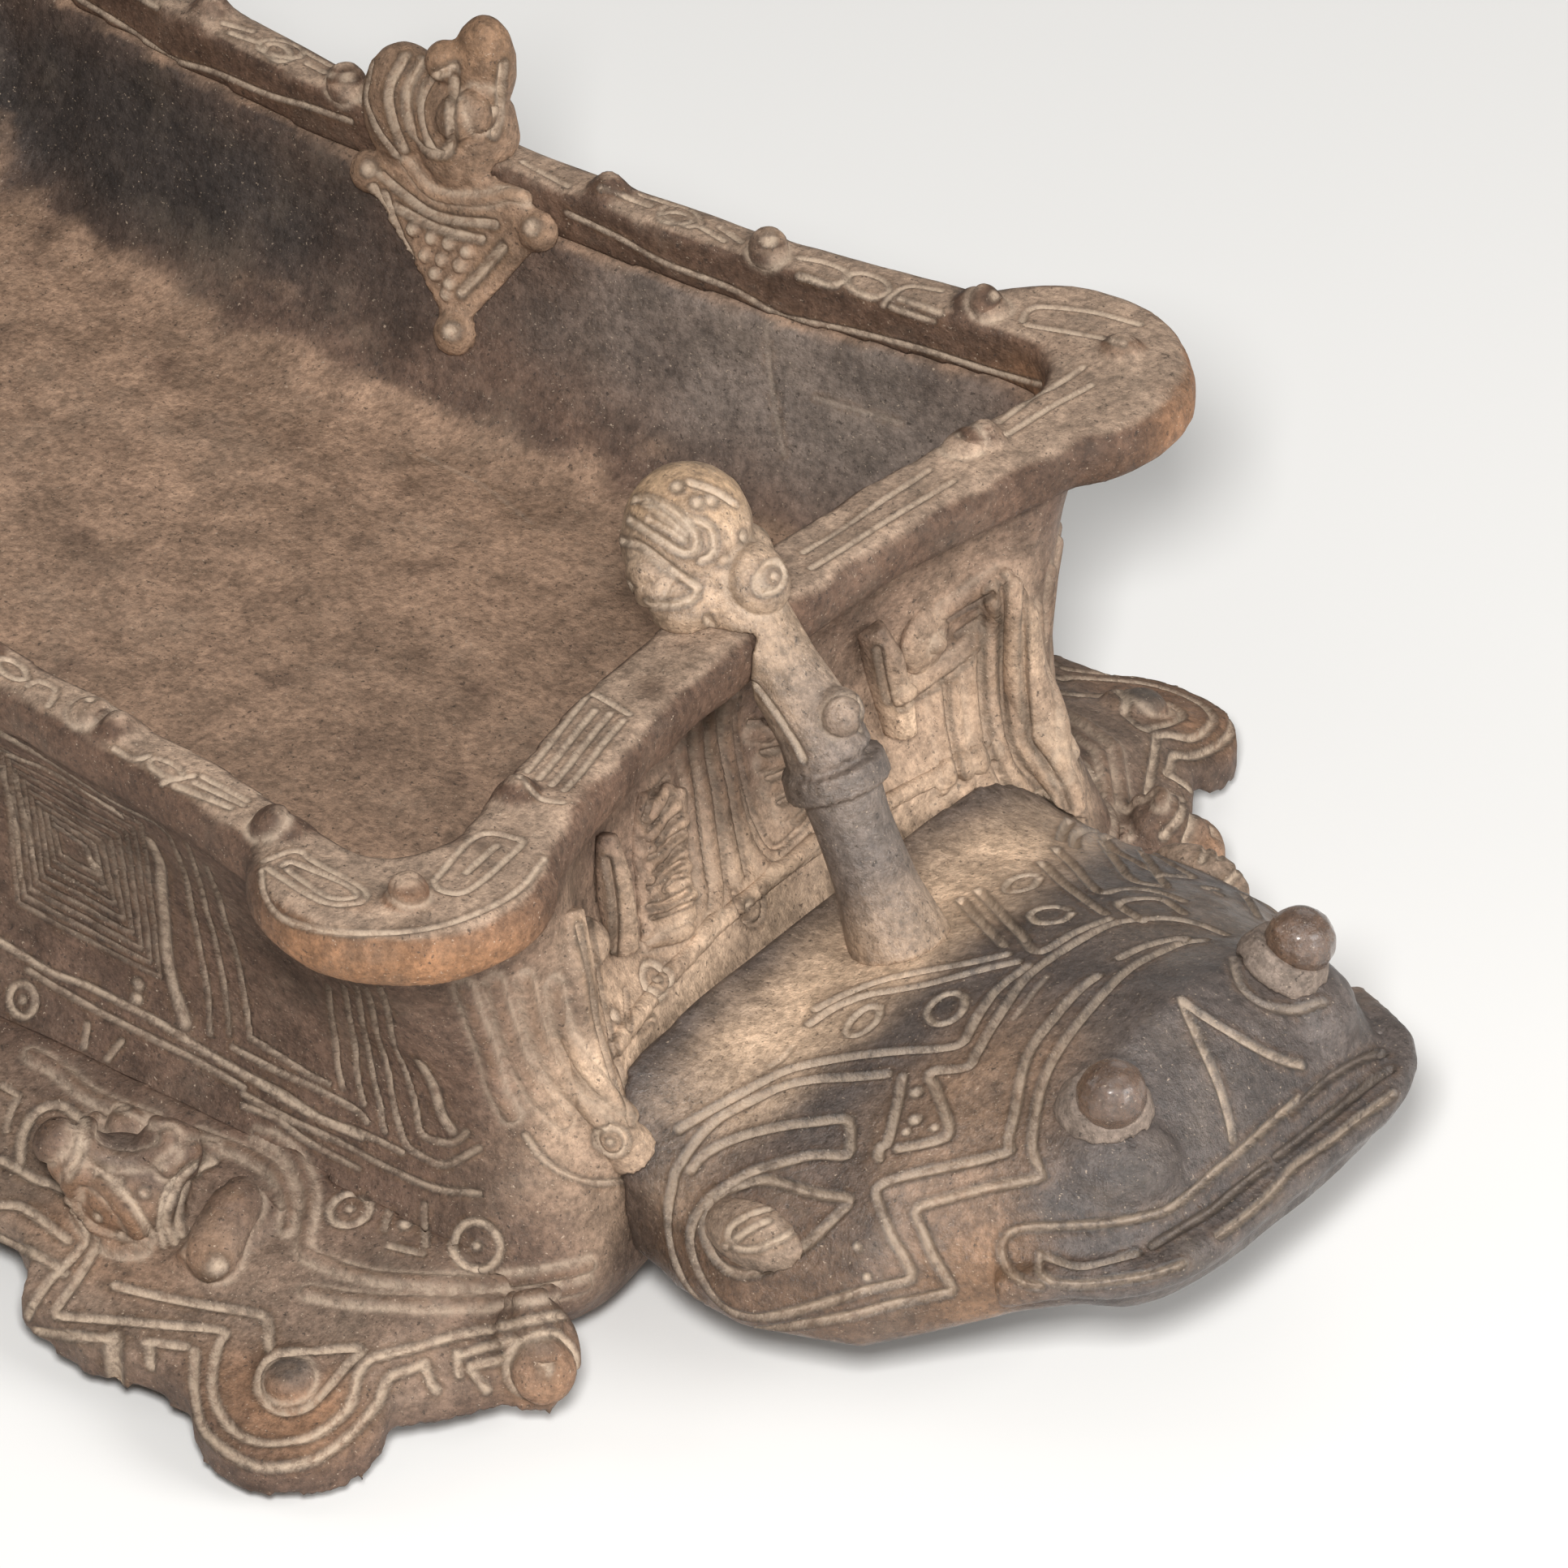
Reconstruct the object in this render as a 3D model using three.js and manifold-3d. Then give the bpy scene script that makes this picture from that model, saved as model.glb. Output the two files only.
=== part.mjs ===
// Zoomorphic ceramic trough vessel. Millimetres, +Z up, +X towards the big front head.
// The foot rests on z = 0. Plan positions here are from the middle of the basin, and the
// group is then moved so that the origin is the middle of the footprint. +Y is the left side.
import * as THREE from 'three';
import { mergeVertices } from 'three/addons/utils/BufferGeometryUtils.js';
import Module from 'manifold-3d';

const wasm = await Module();
wasm.setup();

// Driving dimensions
const RIM_H = 145; // top of the rim above the ground
const RIM_T = 14; // height of the rim band's outer face
const HALF_L = 184; // half length of the walls at the top, at the corners
const HALF_W = 136; // half width of the walls at the top, at the corners
const BOW_END = 20; // how far each end wall bows inwards at mid-width
const BOW_SIDE = 18; // how far each long wall bows inwards at mid-length
const BASIN_D = 62; // depth of the basin below the rim
const FLOOR_T = 9; // thickness of the basin floor
const WALL_T = 10; // wall of the pedestal under the basin
const LOBE_R = 35; // radius of the rim's corner lobes
const KNOB_R = 4.4; // radius of the rim pellets
const FLANGE_T = 8.5; // thickness of the side flanges
const FLANGE_DROP = 0.36; // how steeply the side flanges droop outwards
const FLANGE_LOBE_R = 23.5; // radius of the flange lobes
const HEAD_L = 141; // length of the front head, from the wall to the muzzle
const HEAD_HALF_W = 93; // half width of the front head at the cheeks
const EYE_R = 7.6; // radius of the front head's eye balls
const COLUMN_R = 8.8; // radius of the handle column at its middle
const LIP_R = 4.5; // radius of the lip band on the muzzle
const SMALL_HEAD_R = 16.5; // radius of the animal head on the handle
const TAIL_L = 62; // length of the plain tail lobe
const GAP = 0.3; // clearance between pieces that touch

const WALL_TOP = RIM_H - RIM_T;
const SIDE_N = 10; // steps along each long side of an outline
const END_N = 8; // steps along each end
const CORNER_N = 5; // steps round each corner

// Turns positions and triangles into a solid that can be cut and joined. bend, if given,
// changes the height of each vertex.
function solid(geometry, bend) {
  const bare = new THREE.BufferGeometry();
  const pos = geometry.getAttribute('position');
  if (bend) {
    for (let i = 0; i < pos.count; i++) {
      pos.setZ(i, bend(pos.getX(i), pos.getY(i), pos.getZ(i)));
    }
  }
  bare.setAttribute('position', pos);
  if (geometry.index) {
    bare.setIndex(geometry.index);
  }
  const g = mergeVertices(bare, 1e-4);
  return new wasm.Manifold(
    new wasm.Mesh({
      numProp: 3,
      vertProperties: new Float32Array(g.getAttribute('position').array),
      triVerts: new Uint32Array(g.index.array),
    })
  );
}

// Lofts rings of the same number of [x, y, z] points into a closed body.
function loft(rings) {
  const n = rings[0].length;
  const pos = [];
  const tri = [];
  for (const ring of rings) {
    for (const p of ring) {
      pos.push(...p);
    }
  }
  for (let k = 0; k + 1 < rings.length; k++) {
    for (let i = 0; i < n; i++) {
      const j = (i + 1) % n;
      const a = k * n + i;
      const b = k * n + j;
      tri.push(a, b, b + n);
      tri.push(a, b + n, a + n);
    }
  }
  for (const [k, flip] of [[0, true], [rings.length - 1, false]]) {
    const c = pos.length / 3;
    const mid = [0, 1, 2].map((axis) => rings[k].reduce((s, p) => s + p[axis], 0) / n);
    pos.push(...mid);
    for (let i = 0; i < n; i++) {
      const a = k * n + i;
      const b = k * n + ((i + 1) % n);
      tri.push(...(flip ? [c, b, a] : [c, a, b]));
    }
  }
  const g = new THREE.BufferGeometry();
  g.setAttribute('position', new THREE.BufferAttribute(new Float32Array(pos), 3));
  g.setIndex(tri);
  return solid(g);
}

// A rounded plan outline whose four sides bow inwards, anticlockwise from the right side.
function outline(l, w, rc, end, side) {
  const a = l - rc;
  const b = w - rc;
  const pts = [];
  const corner = (sx, sy, from) => {
    for (let i = 0; i <= CORNER_N; i++) {
      const t = from + (Math.PI / 2) * (i / CORNER_N);
      pts.push([sx * a + rc * Math.cos(t), sy * b + rc * Math.sin(t)]);
    }
  };
  const edge = (steps, at) => {
    for (let i = 1; i < steps; i++) {
      pts.push(at((2 * i) / steps - 1));
    }
  };
  edge(SIDE_N, (u) => [u * a, -w + side * (1 - u * u)]);
  corner(1, -1, -Math.PI / 2);
  edge(END_N, (u) => [l - end * (1 - u * u), u * b]);
  corner(1, 1, 0);
  edge(SIDE_N, (u) => [-u * a, w - side * (1 - u * u)]);
  corner(-1, 1, Math.PI / 2);
  edge(END_N, (u) => [-l + end * (1 - u * u), -u * b]);
  corner(-1, -1, Math.PI);
  return pts;
}

// Each level: depth below the rim, then what is added to the half length and the half
// width, the corner radius, and the share of each bow that is left at that depth.
const OUTER_LEVELS = [
  [RIM_T, 0, 0, 40, 1.0, 1.0],
  [30, -1, -9, 36, 1.25, 0.86],
  [45, -1, -18, 30, 1.25, 0.66],
  [60, 0, -24, 26, 1.0, 0.48],
  [72, 3, -28, 24, 0.75, 0.36],
  [86, 9, -29, 22, 0.6, 0.26],
  [100, 13, -24, 24, 0.4, 0.22],
  [112, 15, -18, 26, 0.3, 0.2],
  [123, 15, -14, 28, 0.25, 0.2],
  [133, 9, -20, 28, 0.25, 0.2],
  [RIM_H, -2, -32, 26, 0.3, 0.2],
];
const BASIN_LEVELS = [
  [RIM_T - 2, -14, -10, 18, 0.7, 0.9],
  [30, -19, -16, 20, 0.75, 0.84],
  [45, -27, -24, 24, 0.7, 0.8],
  [BASIN_D - 4, -40, -36, 30, 0.6, 0.68],
  [BASIN_D, -56, -52, 36, 0.5, 0.55],
];

function level([depth, dl, dw, rc, e, s], grow) {
  const ring = outline(HALF_L + dl + grow, HALF_W + dw + grow, rc + grow,
    BOW_END * e, BOW_SIDE * s);
  return ring.map(([x, y]) => [x, y, RIM_H - depth]);
}

// The whole outside of the body, filled, with every face moved out by grow.
function bodyEnvelope(grow) {
  const rings = OUTER_LEVELS.map((v) => level(v, grow)).reverse();
  rings[0] = rings[0].map(([x, y, z]) => [x, y, z - grow]);
  const top = rings.length - 1;
  rings[top] = rings[top].map(([x, y, z]) => [x, y, z + grow]);
  return loft(rings);
}

function basin(grow = 0) {
  const rings = BASIN_LEVELS.map((v) => level(v, grow)).reverse();
  rings.push(rings[rings.length - 1].map(([x, y]) => [x, y, RIM_H + 5]));
  return loft(rings);
}

function pedestalHollow() {
  const top = BASIN_D + FLOOR_T;
  const levels = OUTER_LEVELS.filter(([depth]) => depth > top + 6).reverse();
  const rings = levels.map((v) => level(v, -WALL_T));
  rings[0] = rings[0].map(([x, y, z]) => [x, y, z - 5]);
  rings.push(level([top, -2, -30 - 2, 24, 0.75, 0.36], -WALL_T - 12));
  return loft(rings);
}

function cylinder(r0, r1, h, x, y, z, n = 20, bend) {
  const g = new THREE.CylinderGeometry(r1, r0, h, n);
  g.rotateX(Math.PI / 2);
  g.translate(x, y, z + h / 2);
  return solid(g, bend);
}

function ball(r, x, y, z, n = 12, stretch = [1, 1, 1], bend) {
  const g = new THREE.SphereGeometry(r, n, Math.max(6, Math.round(n * 0.6)));
  g.rotateX(Math.PI / 2);
  g.scale(...stretch);
  g.translate(x, y, z);
  return solid(g, bend);
}

// A round bar along points, with one radius at each point.
function bar(points, radii, n = 12) {
  const centres = points.map((p) => new THREE.Vector3(...p));
  const rings = [];
  for (let i = 0; i < centres.length; i++) {
    const before = centres[Math.max(0, i - 1)];
    const after = centres[Math.min(centres.length - 1, i + 1)];
    const along = after.clone().sub(before).normalize();
    const side = new THREE.Vector3(0, 1, 0);
    if (Math.abs(along.y) > 0.8) {
      side.set(0, 0, 1);
    }
    const u = side.clone().sub(along.clone().multiplyScalar(side.dot(along))).normalize();
    const v = along.clone().cross(u);
    const ring = [];
    for (let k = 0; k < n; k++) {
      const t = (2 * Math.PI * k) / n;
      const p = centres[i].clone();
      p.addScaledVector(u, radii[i] * Math.cos(t));
      p.addScaledVector(v, radii[i] * Math.sin(t));
      ring.push([p.x, p.y, p.z]);
    }
    rings.push(ring);
  }
  return loft(rings);
}

// A flat plate from a plan outline, between two heights.
function plate(points, z0, z1) {
  const shape = new THREE.Shape(points.map(([x, y]) => new THREE.Vector2(x, y)));
  const g = new THREE.ExtrudeGeometry(shape, { depth: z1 - z0, bevelEnabled: false });
  g.translate(0, 0, z0);
  return solid(g);
}

function union(parts) {
  return parts.reduce((all, p) => all.add(p));
}

// Rim band
const RIM_IN = BASIN_LEVELS[0];
const rimPlan = (grow, z) => level([RIM_H - z, 6, 5, 42, 0.7, 1.0], grow);
const rimKnobs = [];
for (const sx of [1, -1]) {
  for (const sy of [1, -1]) {
    rimKnobs.push([sx * (HALF_L - 8), sy * (HALF_W - 1)]);
    rimKnobs.push([sx * (HALF_L - 13), sy * 88]);
    for (const x of [39.5, 83, 137]) {
      const u = x / (HALF_L - 30);
      rimKnobs.push([sx * x, sy * (HALF_W - 2 - BOW_SIDE * (1 - u * u))]);
    }
  }
}

function rimBand() {
  const outer = loft([
    rimPlan(-2.5, WALL_TOP + GAP),
    rimPlan(0, WALL_TOP + 3),
    rimPlan(0, RIM_H - 3),
    rimPlan(-3, RIM_H),
  ]);
  const lobes = [];
  for (const sx of [1, -1]) {
    for (const sy of [1, -1]) {
      const x = sx * (HALF_L - 20);
      const y = sy * (HALF_W - 15);
      const g = new THREE.LatheGeometry([
        [0, WALL_TOP + GAP], [LOBE_R - 3, WALL_TOP + GAP], [LOBE_R, WALL_TOP + 4],
        [LOBE_R, RIM_H - 4], [LOBE_R - 3, RIM_H + 0.4], [0, RIM_H + 0.4],
      ].map(([r, z]) => new THREE.Vector2(r, z)), 28);
      g.rotateX(Math.PI / 2);
      g.translate(x, y, 0);
      lobes.push(solid(g));
    }
  }
  const inner = level(RIM_IN, 0).map(([x, y]) => [x, y]);
  const hole = plate(inner, WALL_TOP - 5, RIM_H + 10);
  const knobs = rimKnobs.map(([x, y]) => ball(KNOB_R, x, y, RIM_H + 0.4, 8));
  return union([outer.add(union(lobes)).subtract(hole), ...knobs]);
}

// Side flanges
const FLANGE_Y = HALF_W + 26; // the flange lobes' centres, where the flange top is at FLANGE_Z
const FLANGE_Z = RIM_H - 123;
const FLANGE_X = HALF_L - 22;
const BEND_X = HALF_L - 9; // past this the flange's ends bend down as well
// The droop grows outwards across the flange and again past the wall's corners.
const droop = (x, y, z) =>
  z - FLANGE_DROP * (Math.abs(y) - FLANGE_Y + 1.6 * Math.max(0, Math.abs(x) - BEND_X));

// A bent slab that is wider and longer than the flange, raised by up.
function flangeSlab(sy, up) {
  const end = HALF_L + 50;
  const rings = [-end, -BEND_X, BEND_X, end].map((x) => {
    const ring = [[60, -FLANGE_T], [FLANGE_Y + 50, -FLANGE_T], [FLANGE_Y + 50, up], [60, up]]
      .map(([y, dz]) => [x, sy * y, droop(x, y, FLANGE_Z + dz)]);
    return sy > 0 ? ring : ring.reverse();
  });
  return loft(rings);
}

function flange(sy, up = 0) {
  const half = [
    [78, FLANGE_Y - 5], [86, FLANGE_Y], [91, FLANGE_Y + 10],
    [113, FLANGE_Y + 14], [130, FLANGE_Y + 11],
  ];
  for (let i = 0; i <= 12; i++) {
    const t = (145 - (165 * i) / 12) * (Math.PI / 180);
    half.push([FLANGE_X + FLANGE_LOBE_R * Math.cos(t), FLANGE_Y + FLANGE_LOBE_R * Math.sin(t)]);
  }
  const knobX = HALF_L + 20;
  half.push([knobX - 14, FLANGE_Y - 17], [knobX - 6, FLANGE_Y - 30]);
  half.push([knobX + 3, FLANGE_Y - 37], [knobX, FLANGE_Y - 50], [HALF_L - 2, FLANGE_Y - 60]);
  const back = half.map(([x, y]) => [-x, y]).reverse();
  const points = [...half, [HALF_L - 20, 90], [-HALF_L + 20, 90], ...back];
  const ccw = points.map(([x, y]) => [x, sy * y]);
  if (sy > 0) {
    ccw.reverse();
  }
  return plate(ccw, -40, RIM_H).intersect(flangeSlab(sy, up)).subtract(bodyEnvelope(GAP));
}

// Front head: stations along X with half width, depths of top, side and underside,
// and the roundness of the top, where less than 1 is squarer.
const HEAD_X0 = HALF_L + 2;
const HEAD = [
  [0.0, 0.9, 76, 108, 126, 0.42],
  [0.05, 0.91, 76.5, 109, 126, 0.5],
  [0.1, 0.92, 76.5, 110, 126, 0.6],
  [0.156, 0.94, 75.5, 111, 126, 0.72],
  [0.213, 0.97, 73, 112, 126, 0.86],
  [0.35, 1.0, 67, 112, 125, 1],
  [0.54, 0.93, 62, 110, 123, 1],
  [0.63, 0.81, 60, 106, 119, 1],
  [0.74, 0.695, 56, 100, 113, 1],
  [0.83, 0.615, 63, 96, 110, 1],
  [0.895, 0.565, 74, 95, 109, 1],
  [0.93, 0.51, 81, 95, 106, 1],
  [0.955, 0.43, 87, 95, 103, 1],
  [0.975, 0.32, 90, 95, 101, 1],
].map(([t, w, ...shape]) => [HEAD_X0 + t * HEAD_L, w * HEAD_HALF_W, ...shape]);

// The eyes, each on its own mound
const EYE_X = HEAD_X0 + HEAD_L * 0.777;
const EYE_Y = 34;
const MOUND_R = 16;

function headBody(grow) {
  const n = 28;
  const rings = HEAD.map(([x, w, top, side, under, round], k) => {
    const ends = k === 0 ? -grow : k === HEAD.length - 1 ? grow : 0;
    const ring = [];
    for (let i = 0; i < n; i++) {
      const t = (2 * Math.PI * i) / n;
      const c = Math.cos(t);
      const s = Math.sin(t);
      const power = s > 0 ? round : 0.6;
      const y = Math.sign(c) * Math.abs(c) ** power * (w + grow);
      const reach = (s > 0 ? side - top : under - side) + grow;
      const up = Math.sign(s) * Math.abs(s) ** power * reach;
      const z = RIM_H - side + up;
      ring.push([x + ends, y, z]);
    }
    return ring;
  });
  const mounds = [1, -1].map((sy) => {
    const z = headTop(EYE_X, EYE_Y) - MOUND_R * 0.8;
    return ball(MOUND_R + grow, EYE_X - 2, sy * EYE_Y, z, 14, [1.3, 1.05, 0.92]);
  });
  return union([loft(rings), ...mounds]);
}

function headHollow() {
  const n = 20;
  const rings = HEAD.slice(3, 11).map(([x, w, top, side, under], k) => {
    const ring = [];
    for (let i = 0; i < n; i++) {
      const t = (2 * Math.PI * i) / n;
      const s = Math.sin(t);
      const y = Math.cos(t) * (w - 16);
      const up = side - top - 13 - (k > 5 ? 6 : 0);
      ring.push([x, y, RIM_H - side + (s > 0 ? s * Math.max(2, up) : s * (under - side + 8))]);
    }
    return ring;
  });
  return loft(rings);
}

// Height of the head's surface over a plan point.
function headTop(x, y) {
  let k = 0;
  while (k < HEAD.length - 2 && HEAD[k + 1][0] < x) {
    k++;
  }
  const u = (x - HEAD[k][0]) / (HEAD[k + 1][0] - HEAD[k][0]);
  const mix = (i) => HEAD[k][i] + u * (HEAD[k + 1][i] - HEAD[k][i]);
  const r = Math.min(1, Math.abs(y) / mix(1)) ** (1 / mix(5));
  return RIM_H - mix(3) + (mix(3) - mix(2)) * Math.sqrt(1 - r * r) ** mix(5);
}

// The lips: a band round the edge of the muzzle.
function lipBand() {
  const half = HEAD.slice(8).map(([x, w, top, side]) => {
    return [Math.min(x, HEAD_X0 + HEAD_L - LIP_R), w + 0.6 * LIP_R, RIM_H - side + 0.6 * LIP_R];
  });
  const path = [...half, ...half.map(([x, y, z]) => [x, -y, z]).reverse()];
  const centres = path.map((p) => new THREE.Vector3(...p));
  const rings = centres.map((centre, i) => {
    const before = centres[Math.max(0, i - 1)];
    const after = centres[Math.min(centres.length - 1, i + 1)];
    const along = after.clone().sub(before).normalize();
    const out = new THREE.Vector3(along.y, -along.x, 0).normalize();
    const up = along.clone().cross(out);
    const ring = [];
    for (let k = 0; k < 10; k++) {
      const t = (2 * Math.PI * k) / 10;
      const p = centre.clone().addScaledVector(out, LIP_R * Math.cos(t));
      p.addScaledVector(up, LIP_R * Math.sin(t));
      ring.push([p.x, p.y, p.z]);
    }
    return ring;
  });
  return loft(rings);
}

// Handle: a column from the crown to the animal head that sits on the front rim.
const COLUMN = [
  [[HALF_L + 29, 0, RIM_H - 86], 1.8],
  [[HALF_L + 28, 0, RIM_H - 73], 1.35],
  [[HALF_L + 22, 0, RIM_H - 62], 1.1],
  [[HALF_L + 15, 0, RIM_H - 46], 1.0],
  [[HALF_L + 9, 0, RIM_H - 31], 1.05],
];
const SNOUT = [
  [[HALF_L + 8.5, 0, RIM_H - 29.8], 1.15],
  [[HALF_L + 5, 0, RIM_H - 23], 1.1],
  [[HALF_L - 5, 0, RIM_H - 12], 1.0],
  [[HALF_L - 14, 0, RIM_H - 2], 1.1],
  [[HALF_L - 24, 0, RIM_H + 8], 1.3],
];
const columnBar = (grow) => bar(COLUMN.map((v) => v[0]), COLUMN.map((v) => v[1] * COLUMN_R + grow), 14);
const SMALL_HEAD_AT = [HALF_L - 32, 0, RIM_H + 14];

function smallHead() {
  const snout = bar(SNOUT.map((v) => v[0]), SNOUT.map((v) => v[1] * COLUMN_R), 14);
  const skull = ball(SMALL_HEAD_R, ...SMALL_HEAD_AT, 16, [0.95, 0.92, 1.05]);
  const nostril = ball(6, HALF_L + 11, 0, RIM_H - 17, 10);
  const neck = cylinder(12, 11, 16, SMALL_HEAD_AT[0] + 8, 0, RIM_H - 6, 14);
  const eyes = [1, -1].map((s) => ball(8.2, SMALL_HEAD_AT[0] + 7, s * 11, RIM_H + 5, 10));
  return union([snout, skull, nostril, neck, ...eyes]).subtract(rimSolid(GAP)).subtract(columnBar(GAP));
}

function rimSolid(grow) {
  const outer = loft([rimPlan(grow, WALL_TOP - 4), rimPlan(grow, RIM_H + grow)]);
  const inner = level(RIM_IN, -grow).map(([x, y]) => [x, y]);
  return outer.subtract(plate(inner, WALL_TOP - 10, RIM_H + 10));
}

// Lug heads at mid-length of the long sides
const LUG_Y = HALF_W - BOW_SIDE - 2;

function lugCrest(sy, grow) {
  return ball(12 + grow, -17, sy * (LUG_Y - 3), RIM_H + 4, 16, [1, 0.78, 1.42]);
}

function lugHead(sy, grow) {
  const y = sy * (LUG_Y - 2);
  return union([
    ball(13 + grow, 0, y, RIM_H + 3, 14, [1, 0.88, 1.25]),
    ball(5.5 + grow, 4, y - sy * 8.5, RIM_H + 13, 10),
    ball(5 + grow, -4, y - sy * 3, RIM_H + 23, 10),
    ball(8 + grow, 3.5, y + sy * 3, RIM_H + 22, 12, [1, 0.9, 1.65]),
  ]);
}

// Front wall: x of its face at a height and a distance from the middle
function frontFace(y, depth) {
  let k = 0;
  while (k < OUTER_LEVELS.length - 2 && OUTER_LEVELS[k + 1][0] < depth) {
    k++;
  }
  const a = OUTER_LEVELS[k];
  const b = OUTER_LEVELS[k + 1];
  const u = (depth - a[0]) / (b[0] - a[0]);
  const mix = (i) => a[i] + u * (b[i] - a[i]);
  const v = y / (HALF_W + mix(2) - mix(3));
  return HALF_L + mix(1) - BOW_END * mix(4) * Math.max(0, 1 - v * v);
}

// A cut can leave crumbs beside a piece. This gives the triangles of its largest body.
function largestBody(tri, vertexCount) {
  const root = Array.from({ length: vertexCount }, (_, i) => i);
  const find = (i) => {
    while (root[i] !== i) {
      root[i] = root[root[i]];
      i = root[i];
    }
    return i;
  };
  for (let i = 0; i < tri.length; i += 3) {
    root[find(tri[i])] = find(tri[i + 1]);
    root[find(tri[i + 1])] = find(tri[i + 2]);
  }
  const groups = new Map();
  for (let i = 0; i < tri.length; i += 3) {
    const r = find(tri[i]);
    if (!groups.has(r)) {
      groups.set(r, []);
    }
    groups.get(r).push(tri[i], tri[i + 1], tri[i + 2]);
  }
  return [...groups.values()].reduce((a, b) => (b.length > a.length ? b : a));
}

// Half width of the basin's long walls, inside, at a distance along it and a depth
function innerWall(x, depth) {
  let k = 0;
  while (k < BASIN_LEVELS.length - 2 && BASIN_LEVELS[k + 1][0] < depth) {
    k++;
  }
  const a = BASIN_LEVELS[k];
  const b = BASIN_LEVELS[k + 1];
  const u = Math.max(0, (depth - a[0]) / (b[0] - a[0]));
  const mix = (i) => a[i] + u * (b[i] - a[i]);
  const v = x / (HALF_L + mix(1) - mix(3));
  return HALF_W + mix(2) - BOW_SIDE * mix(5) * (1 - v * v);
}

// The triangular relief panel under each lug, on the basin's wall
const PANEL = [[-27, 15], [-18, 4], [0, 3], [20, 3], [27, 12], [18, 28], [8, 42], [-8, 30]];

function lugPanel(sy) {
  const ring = (out) => PANEL.map(([x, d]) => [x, sy * (innerWall(x, d) - out), RIM_H - d]);
  const rings = sy > 0 ? [ring(3), ring(-3)] : [ring(-3), ring(3)];
  const bosses = [[-25, 15], [25, 12], [8, 42]].map(([x, d]) =>
    ball(5.5, x, sy * (innerWall(x, d) - 1), RIM_H - d, 10));
  return loft(rings).add(union(bosses)).intersect(basin(-GAP));
}

const group = new THREE.Group();

function add(name, manifold, colour) {
  const mesh = manifold.getMesh();
  const g = new THREE.BufferGeometry();
  g.setAttribute('position', new THREE.BufferAttribute(new Float32Array(mesh.vertProperties), 3));
  g.setIndex(largestBody(mesh.triVerts, mesh.vertProperties.length / 3));
  const material = new THREE.MeshStandardMaterial({ color: colour, roughness: 0.85 });
  const node = new THREE.Mesh(g, material);
  node.name = name;
  group.add(node);
}

const CLAY = '#7d6a59';
const DARK = '#4a423d';
const TAN = '#9a7f66';

const envelope = bodyEnvelope(GAP);
const body = bodyEnvelope(0).subtract(basin()).subtract(pedestalHollow());
add('body', body, CLAY);
add('rim_band', rimBand(), CLAY);

const SIDES = [['left', 1], ['right', -1]];
const ENDS = [['front', 1], ['rear', -1]];
for (const [side, sy] of SIDES) {
  add(`side_flange_${side}`, flange(sy), CLAY);
  const grownFlange = flange(sy, GAP);
  for (const [end, sx] of ENDS) {
    add(`lobe_roundel_${end}_${side}`,
      cylinder(7, 6, 2.5, sx * (FLANGE_X - 2), sy * FLANGE_Y, FLANGE_Z + GAP, 16, droop), CLAY);
    const kx = sx * (HALF_L + 17);
    const ky = sy * (FLANGE_Y - 40);
    const base = cylinder(10, 9, 6, kx, ky, FLANGE_Z + GAP, 18, droop);
    const tip = ball(6, kx, ky, FLANGE_Z + GAP + 8, 12, [1, 1, 1], droop);
    add(`flange_knob_${end}_${side}`, base.add(tip).subtract(envelope), CLAY);
    const ax = sx * 97;
    const ay = sy * (FLANGE_Y - 22);
    const az = droop(ax, ay, FLANGE_Z);
    const animal = union([
      ball(14, ax, ay, az + 4, 12, [1.1, 0.9, 0.8]),
      ball(8, ax - sx * 9, ay + sy * 6, az + 11, 8),
      ball(8, ax + sx * 7, ay - sy * 6, az + 13, 8),
    ]);
    add(`side_animal_${end}_${side}`,
      animal.subtract(grownFlange).subtract(envelope), CLAY);
    const boss = bar([[sx * 126, sy * (FLANGE_Y - 34), az + 6], [sx * 125, sy * (FLANGE_Y - 22), az + 1.5],
      [sx * 124, sy * (FLANGE_Y - 12), az - 3]], [7, 5.5, 7], 10);
    add(`pair_boss_${end}_${side}`,
      boss.subtract(grownFlange).subtract(envelope), CLAY);
  }
}

const headSolid = headBody(0).subtract(headHollow()).subtract(envelope);
add('front_head', headSolid, DARK);
const headGrown = headBody(GAP);
for (const [side, sy] of SIDES) {
  const cz = headTop(EYE_X, EYE_Y) + 1;
  const tilt = (k) => [EYE_X + 0.35 * k, sy * (EYE_Y + 0.25 * k), cz + k];
  const collarBar = bar([tilt(-5), tilt(1), tilt(5)], [11.5, 11, 9], 14);
  add(`eye_collar_${side}`, collarBar.subtract(headGrown), DARK);
  const grownCollar = bar([tilt(-5), tilt(1), tilt(5 + GAP)], [11.5, 11, 9], 14);
  add(`eye_ball_${side}`, ball(EYE_R, ...tilt(9.5), 12).subtract(grownCollar), CLAY);
  const py = sy * (HEAD_HALF_W - 8);
  const px = HEAD_X0 + HEAD_L * 0.35;
  const bean = ball(11, px, py, RIM_H - 97, 12, [1.25, 0.7, 0.75]);
  add(`cheek_pellet_${side}`, bean.subtract(headGrown), CLAY);
}
add('lip_band', lipBand().subtract(headGrown), DARK);

const foot = columnBar(0).subtract(headGrown).subtract(envelope);
add('handle_column', foot, DARK);
const [ringFrom, ringTo] = COLUMN.slice(-2);
const ringBar = bar(
  [0.6, 0.97].map((u) => ringFrom[0].map((v, i) => v + u * (ringTo[0][i] - v))),
  [COLUMN_R + 3.4, COLUMN_R + 3], 16);
add('handle_ring', ringBar.subtract(columnBar(GAP)), CLAY);
add('handle_head', smallHead(), TAN);

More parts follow.
